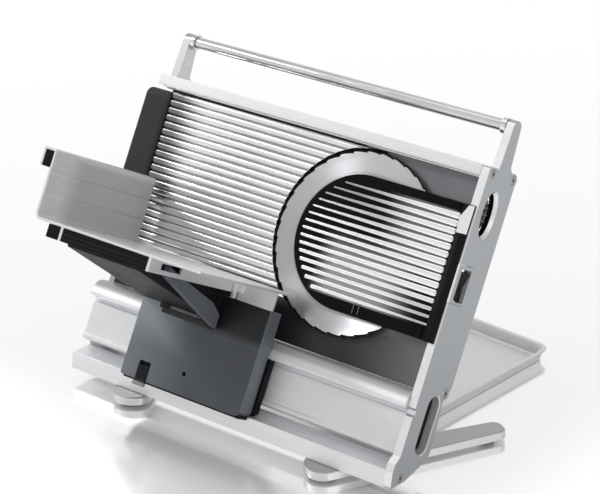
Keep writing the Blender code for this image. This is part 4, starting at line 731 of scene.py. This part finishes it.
def dressPlate(side):
    window = {"back": -0.0122, "up": 0.0576, "halfDeep": 0.0125, "halfTall": 0.0235, "rim": 1.05}
    slot = {"front": 0.009, "rear": 0.029, "low": -0.160, "top": -0.105}  # just wider than the slot
    tilt = {"wall": 0.3, "flat": 0.95, "lit": -0.15}  # how far a normal goes outward, or back on the rim
    # painted light and shade: the wall inside the wheel's window is dark, while on the right plate the window's
    # rim and the slot's walls, and on the left plate the inner face, take a lighter coat
    litCoat, shadedCoat, litFaceCoat = 1, 2, 3
    edge = "edgeAlloy" if side == "right" else "armAlloy"
    plate = refined("side_plate_" + side, "plateAlloy", 0.0005, 2, endOn, edge)
    plate.data.materials.append(finish["blackAndShade"])
    plate.data.materials.append(finish["crestAlloy"])
    for face in plate.data.polygons:
        at, way = face.center, face.normal
        across = (-at.x - window["back"]) / window["halfDeep"]
        reach = math.hypot(across, (at.y - window["up"]) / window["halfTall"])  # 1 at the wheel's window
        isWall = abs(way.z) < tilt["wall"]
        inSlot = slot["front"] < at.x < slot["rear"] and slot["low"] < at.y < slot["top"]
        onRim = reach < window["rim"] and tilt["wall"] <= way.z < tilt["flat"] and way.x < tilt["lit"]
        if isWall and reach < 1:
            face.material_index = shadedCoat
        elif side == "left" and way.z > facingWay:
            face.material_index = litFaceCoat
        elif side == "right" and (onRim or isWall and inSlot):
            face.material_index = litCoat


def buildFrame():
    ledge = {"reach": 0.010, "drop": 0.0012, "thick": 0.0016, "lap": 0.001, "edge": 0.0002}
    barSteps = 48
    for side in ("left", "right"):
        dressPlate(side)
    dressAll({
        "top_rail": ("crestAlloy", 0.0004), "guide_rail": ("guideAlloy", 0.0004),
        "base_rail": ("baseAlloy", 0.0004, 2, level), "back_panel": ("panelCoat", 0.0003, 1),
    })
    for side in ("left", "right"):
        refined("bar_collar_" + side, "chrome", 0.0005, 2, endOn)
        for end in ("front", "rear"):
            refined(f"foot_pad_{side}_{end}", "padRubber", 0.0004, 2, level)
        top = span("foot_bar_" + side, level)[1].z
        refined("foot_bar_" + side, "footAlloy", 0.0006, 3, Matrix.Translation((0, 0, top)))
    low, high = span("base_rail", level)
    lap, top = ledge["lap"], high.z - ledge["drop"]
    outline = rectangle(low.x + lap, high.x - lap, high.y - lap, high.y + ledge["reach"])
    mesh = plateMesh(outline, top - ledge["thick"], top, ledge["edge"])
    fit(newPiece("base_ledge", mesh, level, finish["railAlloy"]), like="base_rail")
    low, high = span("carry_bar", endOn)
    middle, radius = roundOf(low, high)
    mesh = lathe([(radius, low.z), (radius, high.z)], barSteps, middle)
    fit(newPiece("handle_bar", mesh, endOn, finish["barAlloy"], sharp=40), "carry_bar")
    print("frame dressed")


buildFrame()


def buildSlots():  # painted shade and highlight: a dark web inside each side plate's long slot, and a bright half rim round its rear edge
    slot = {
        "front": 0.010, "rear": 0.028, "top": -0.1055, "low": -0.159,
        "web": 0.0008, "bite": 0.0002, "steps": 16,
    }
    lip = {"wide": 0.0014, "deep": 0.0004, "proud": 0.0001, "swing": 75, "steps": 12}
    radius = (slot["rear"] - slot["front"]) / 2
    middle = (slot["rear"] + slot["front"]) / 2
    upper, lower = slot["top"] - radius, slot["low"] + radius
    size, steps = radius + slot["bite"], slot["steps"]
    hole = arc(middle, upper, size, 0, 180, steps) + arc(middle, lower, size, 180, 360, steps)
    edges = []
    for size in (radius, radius + lip["wide"]):
        bow = arc(middle, upper, size, lip["swing"], 0, lip["steps"])
        edges.append(bow + arc(middle, lower, size, 0, -lip["swing"], lip["steps"]))
    half = edges[0] + edges[1][::-1]
    for side, outward in (("right", 1), ("left", -1)):
        low, high = span("side_plate_" + side, endOn)
        inner, outer = (low.z, high.z) if outward > 0 else (high.z, low.z)
        shade = stacked(((hole, inner), (hole, inner + outward * slot["web"])))
        rim = stacked(((half, outer - outward * lip["deep"]), (half, outer + outward * lip["proud"])))
        for name, mesh, coat in (("shade", shade, "blackAndShade"), ("rim", rim, "edgeAlloy")):
            piece = newPiece(f"slot_{name}_{side}", mesh, endOn, finish[coat])
            fit(piece, like="side_plate_" + side)
    print("slots lined")


buildSlots()


def buildScrews():
    screw = {
        "steps": 48, "points": 6, "socket": 0.0019,
        # share of the head's radius, depth below its top
        "dome": ((1.0, 0.0006), (0.9, 0.00018), (0.78, 0.0)),
        # share of the socket's radius, depth, and how far its flats come in
        "recess": ((1.08, 0.0, 0.22), (1.0, 0.0002, 0.26), (0.92, 0.0014, 0.26), (0.3, 0.00154, 0.0)),
    }

    def ring(middle, size, height, star=0.0):
        points = []
        for i in range(screw["steps"]):
            turn = 2 * math.pi * i / screw["steps"]
            reach = size * (1 - star * (0.5 - 0.5 * math.cos(screw["points"] * turn)))
            points.append((middle[0] + reach * math.cos(turn), middle[1] + reach * math.sin(turn), height))
        return points

    for side, outward in (("right", 1), ("left", -1)):
        for spot in ("front", "rear", "low", "base"):
            node = f"screw_{side}_{spot}"
            low, high = span(node, endOn)
            middle, radius = roundOf(low, high)
            top, deep = (high.z, low.z) if outward > 0 else (low.z, high.z)
            rings = [ring(middle, radius, deep)]
            rings += [ring(middle, radius * share, top - outward * drop) for share, drop in screw["dome"]]
            for share, drop, star in screw["recess"]:
                rings.append(ring(middle, screw["socket"] * share, top - outward * drop, star))
            fit(newPiece(node + "_head", ringsMesh(rings), endOn, finish["screwSteel"], sharp=35), node)
    print("screws driven")


buildScrews()


# Controls: the knurled thickness wheel, its spindle, and the rocker in its bezel.

def buildControls():
    wheel = {
        "ribs": 30, "steps": 12, "root": 0.0246, "crown": 0.7,
        # how far in from the ribs, and how far below the face: sunk hub, flat face, rounded edge
        "side": ((0.012, 0.0012), (0.008, 0.0), (0.0008, 0.0), (0.00024, 0.00032), (0.0, 0.0008)),
    }
    low, high = span("thickness_wheel")
    middle, tip = roundOf(low, high)
    around = wheel["ribs"] * wheel["steps"]

    def ring(inset, height):
        points = []
        for i in range(around):
            turn = 2 * math.pi * i / around
            wave = abs(math.cos(wheel["ribs"] * turn / 2)) ** wheel["crown"]
            size = wheel["root"] + (tip - wheel["root"]) * wave - inset
            points.append((middle[0] + size * math.cos(turn), middle[1] + size * math.sin(turn), height))
        return points

    rings = [ring(inset, low.z + deep) for inset, deep in wheel["side"]]
    rings += [ring(inset, high.z - deep) for inset, deep in reversed(wheel["side"])]
    piece = newPiece("knurled_wheel", ringsMesh(rings), panel, finish["wheelMoulding"], sharp=40)
    fit(piece, "thickness_wheel")
    dressAll({
        "spindle": ("chrome", 0.0004), "spindle_bracket": ("castAlloy", 0.0006),
        # the bezel's front faces take the bright alloy as painted light
        "switch_bezel": ("plateAlloy", 0.0004, 2, panel, "edgeAlloy"),
        "switch_rocker": ("blackMoulding", 0.0006),
    })
    print("controls built")


buildControls()


# Carriage: slate plate, glide, arm, lock, and the bright table with its wall.

def buildCarriage():
    dressAll({
        "carriage_plate": ("slateCoat", 0.0006, 3), "carriage_arm": ("armCoat", 0.0005),
        "arm_hook": ("hingeCoat", 0.0005), "carriage_glide": ("blackMoulding", 0.0005),
        "lock_slider": ("lockMoulding", 0.0005), "carriage_table": ("tableAlloy", 0.0003),
        "table_support": ("tableAlloy", 0.0004), "leg_clasp": ("edgeAlloy", 0.0006),
    })
    clasp = {
        "block": (-0.0878, -0.0770, -0.0725, -0.0655), "foot": (-0.0878, -0.0836, -0.0790, -0.0720),
        "back": 0.027, "front": 0.0332, "edge": 0.0004,
    }
    for name in ("block", "foot"):
        mesh = plateMesh(rectangle(*clasp[name]), clasp["back"], clasp["front"], clasp["edge"])
        fit(newPiece("clasp_" + name, mesh, panel, finish["edgeAlloy"]), like="leg_clasp")
    for node in ("front_strip", "strip_end_block", "grip_cap_outer", "grip_cap_inner"):
        refined(node, "blackMoulding", 0.0005)
    print("carriage dressed")


buildCarriage()


# Drive: housing, motor, worm and wheel, bearing, and the gauge's slide.

def buildDrive():
    dressAll({
        "motor_housing": ("blackMoulding", 0.0008), "motor": ("slateCoat", 0.0004, 1),
        "worm_wheel": ("wheelBrass", 0.0003, 1), "blade_hub": ("chrome", 0.0004),
        "shaft_bearing": ("castAlloy", 0.0008), "slide_block": ("castAlloy", 0.0006),
        "gauge_carrier": ("castAlloy", 0.0006), "gauge_rod_low": ("chrome", 0.0004),
        "gauge_rod_high": ("chrome", 0.0004),
    })
    coats = nodes["worm"].data.materials
    coats.clear()
    coats.append(finish["screwSteel"])
    print("drive dressed")


buildDrive()


# Tray: a pressed shallow pan with a turned-out rim.

def buildTray():
    tray = {
        "turn": -4.3, "rim": 0.0028, "sheet": 0.0012, "radius": 0.014, "leastRadius": 0.003, "slope": 0.004,
        "steps": 9, "foot": (0.7, 0.0003), "under": 0.0003, "lip": (0.7, 0.25), "round": 0.0004, "mouth": 0.6,
        "fillet": ((0.85, 0.0009), (1.0, 0.0002)), "flat": 0.0012,
    }
    turn = Matrix.Rotation(math.radians(tray["turn"]), 4, "Z")
    low, high = span("slice_tray", turn)
    middle, half = (low + high) / 2, (high - low) / 2

    def ring(inset, height):
        radius = max(tray["radius"] - inset, tray["leastRadius"])
        points = []
        for sx, sy, start in ((1, 1, 0), (-1, 1, 90), (-1, -1, 180), (1, -1, 270)):
            x = middle.x + sx * (half.x - inset - radius)
            y = middle.y + sy * (half.y - inset - radius)
            points += [(a, b, height) for a, b in arc(x, y, radius, start, start + 90, tray["steps"])]
        return points

    top, rim, sheet, slope = high.z, tray["rim"], tray["sheet"], tray["slope"]
    wall, bed = rim + sheet, low.z + sheet
    footShare, footRise = tray["foot"]
    profile = [(rim + slope, low.z), (rim + slope * footShare, low.z + footRise)]
    profile += [(rim, top - sheet), (tray["under"], top - sheet)]
    profile += [(0, top - sheet * share) for share in tray["lip"]]
    profile += [(tray["round"], top), (rim + sheet * tray["mouth"], top), (wall, top - tray["round"])]
    profile += [(wall + slope * share, bed + rise) for share, rise in tray["fillet"]]
    profile.append((wall + slope + tray["flat"], bed))
    rings = [ring(inset, height) for inset, height in profile]
    fit(newPiece("slice_pan", ringsMesh(rings), turn, finish["tableAlloy"], sharp=40), "slice_tray")
    print("tray pressed")


buildTray()


# Floor, lamps, world and camera.

def buildStudio():
    floor = {
        "size": 14.0, "color": (0.93, 0.93, 0.935), "shine": 1.0, "blur": 0.14,
        "mirror": (0.8, 0.35), "glow": (0.1, 0.34), "front": -0.10, "right": 0.19, "near": 0.01, "far": 0.17,
    }
    mesh = bmesh.new()
    bmesh.ops.create_grid(mesh, x_segments=1, y_segments=1, size=floor["size"] / 2)
    paint = Paint("studioFloor", floor["color"], floor["blur"], 0.0, {"Specular IOR Level": floor["shine"]})
    where = paint.add("ShaderNodeTexCoord", output="Object")
    across = paint.add("ShaderNodeSeparateXYZ", {}, [where], "X") - floor["right"]
    ahead = floor["front"] - paint.add("ShaderNodeSeparateXYZ", {}, [where], "Y")
    away = across.maths("MAXIMUM", ahead)  # how far in front or to the right of the machine
    paint.feed("Metallic", paint.spread(away, *floor["mirror"], floor["near"], floor["far"]))
    seen = paint.add("ShaderNodeLightPath", output="Is Camera Ray")
    mirrored = paint.add("ShaderNodeLightPath", output="Is Glossy Ray")
    paint.feed("Emission Strength", 1.0)
    glow = paint.spread(away, *floor["glow"], floor["near"], floor["far"])
    paint.feed("Emission Color", (seen + mirrored) * glow)
    ground = newPiece("floor", mesh, level, paint.material, sharp=None)

    lamps = {
        "keyLamp": {"from": (-1.35, -0.70, 1.36), "size": 0.4, "power": 8.0},
        "topLamp": {"from": (-0.3, -0.2, 2.5), "size": 2.4, "power": 9.0},
        "rightLamp": {"from": (2.2, -0.5, 1.2), "size": 1.0, "power": 4.0},
    }
    aim = Vector((0, 0, 0.12))
    for name, lamp in lamps.items():
        light = bpy.data.lights.new(name, "AREA")
        light.shape = "DISK"
        light.size = lamp["size"]
        light.energy = lamp["power"]
        holder = bpy.data.objects.new(name, light)
        holder.location = lamp["from"]
        holder.rotation_euler = (aim - holder.location).to_track_quat("-Z", "Y").to_euler()
        bpy.context.scene.collection.objects.link(holder)

    sky = {"horizon": 0.78, "above": 0.55, "bandLow": 0.05, "bandTop": 0.5}
    windows = [
        {"way": (-0.5, -0.78, 0.375), "light": 1.35, "edge": (0.95, 0.99)},
        {"way": (-0.559, 0.7177, 0.415), "light": 1.6, "edge": (0.9, 0.97)},
    ]
    world = bpy.data.worlds.new("studio")
    world.use_nodes = True
    bpy.context.scene.world = world
    bench = Bench(world.node_tree, world.node_tree.nodes["Background"])
    way = bench.add("ShaderNodeTexCoord", output="Generated")
    height = bench.add("ShaderNodeSeparateXYZ", {}, [way], "Z")
    upward = bench.spread(height, sky["horizon"], sky["above"], sky["bandLow"], sky["bandTop"])
    for window in windows:
        pair = [way, window["way"]]
        toward = bench.add("ShaderNodeVectorMath", {"operation": "DOT_PRODUCT"}, pair, "Value")
        upward = upward * bench.spread(toward, 1.0, window["light"], *window["edge"])
    bench.feed("Strength", upward)
    bench.feed("Color", (1, 1, 1))
    print("studio lit")


def buildCamera():
    photo = {
        "azimuth": 37.93, "elevation": 24.53, "focalPixels": 2357, "wide": 600,
        "distance": 2.0941, "right": -0.0479, "up": -0.0033, "sensor": 36.0, "reach": 100,
    }
    az, el = math.radians(photo["azimuth"]), math.radians(photo["elevation"])
    back = Vector((math.sin(az) * math.cos(el), -math.cos(az) * math.cos(el), math.sin(el)))
    right = Vector((math.cos(az), math.sin(az), 0))
    up = Vector((-math.sin(az) * math.sin(el), math.cos(az) * math.sin(el), math.cos(el)))
    lens = bpy.data.cameras.new("camera")
    lens.sensor_width = photo["sensor"]
    lens.sensor_fit = "HORIZONTAL"
    lens.lens = lens.sensor_width * photo["focalPixels"] / photo["wide"]
    lens.clip_end = photo["reach"]
    camera = bpy.data.objects.new("camera", lens)
    spot = bladeCentre + right * photo["right"] + up * photo["up"] + back * photo["distance"]
    camera.matrix_world = axesMatrix(right, up, back, spot)
    bpy.context.scene.collection.objects.link(camera)
    bpy.context.scene.camera = camera


buildStudio()
buildCamera()

bpy.context.scene.view_settings.view_transform = "Standard"
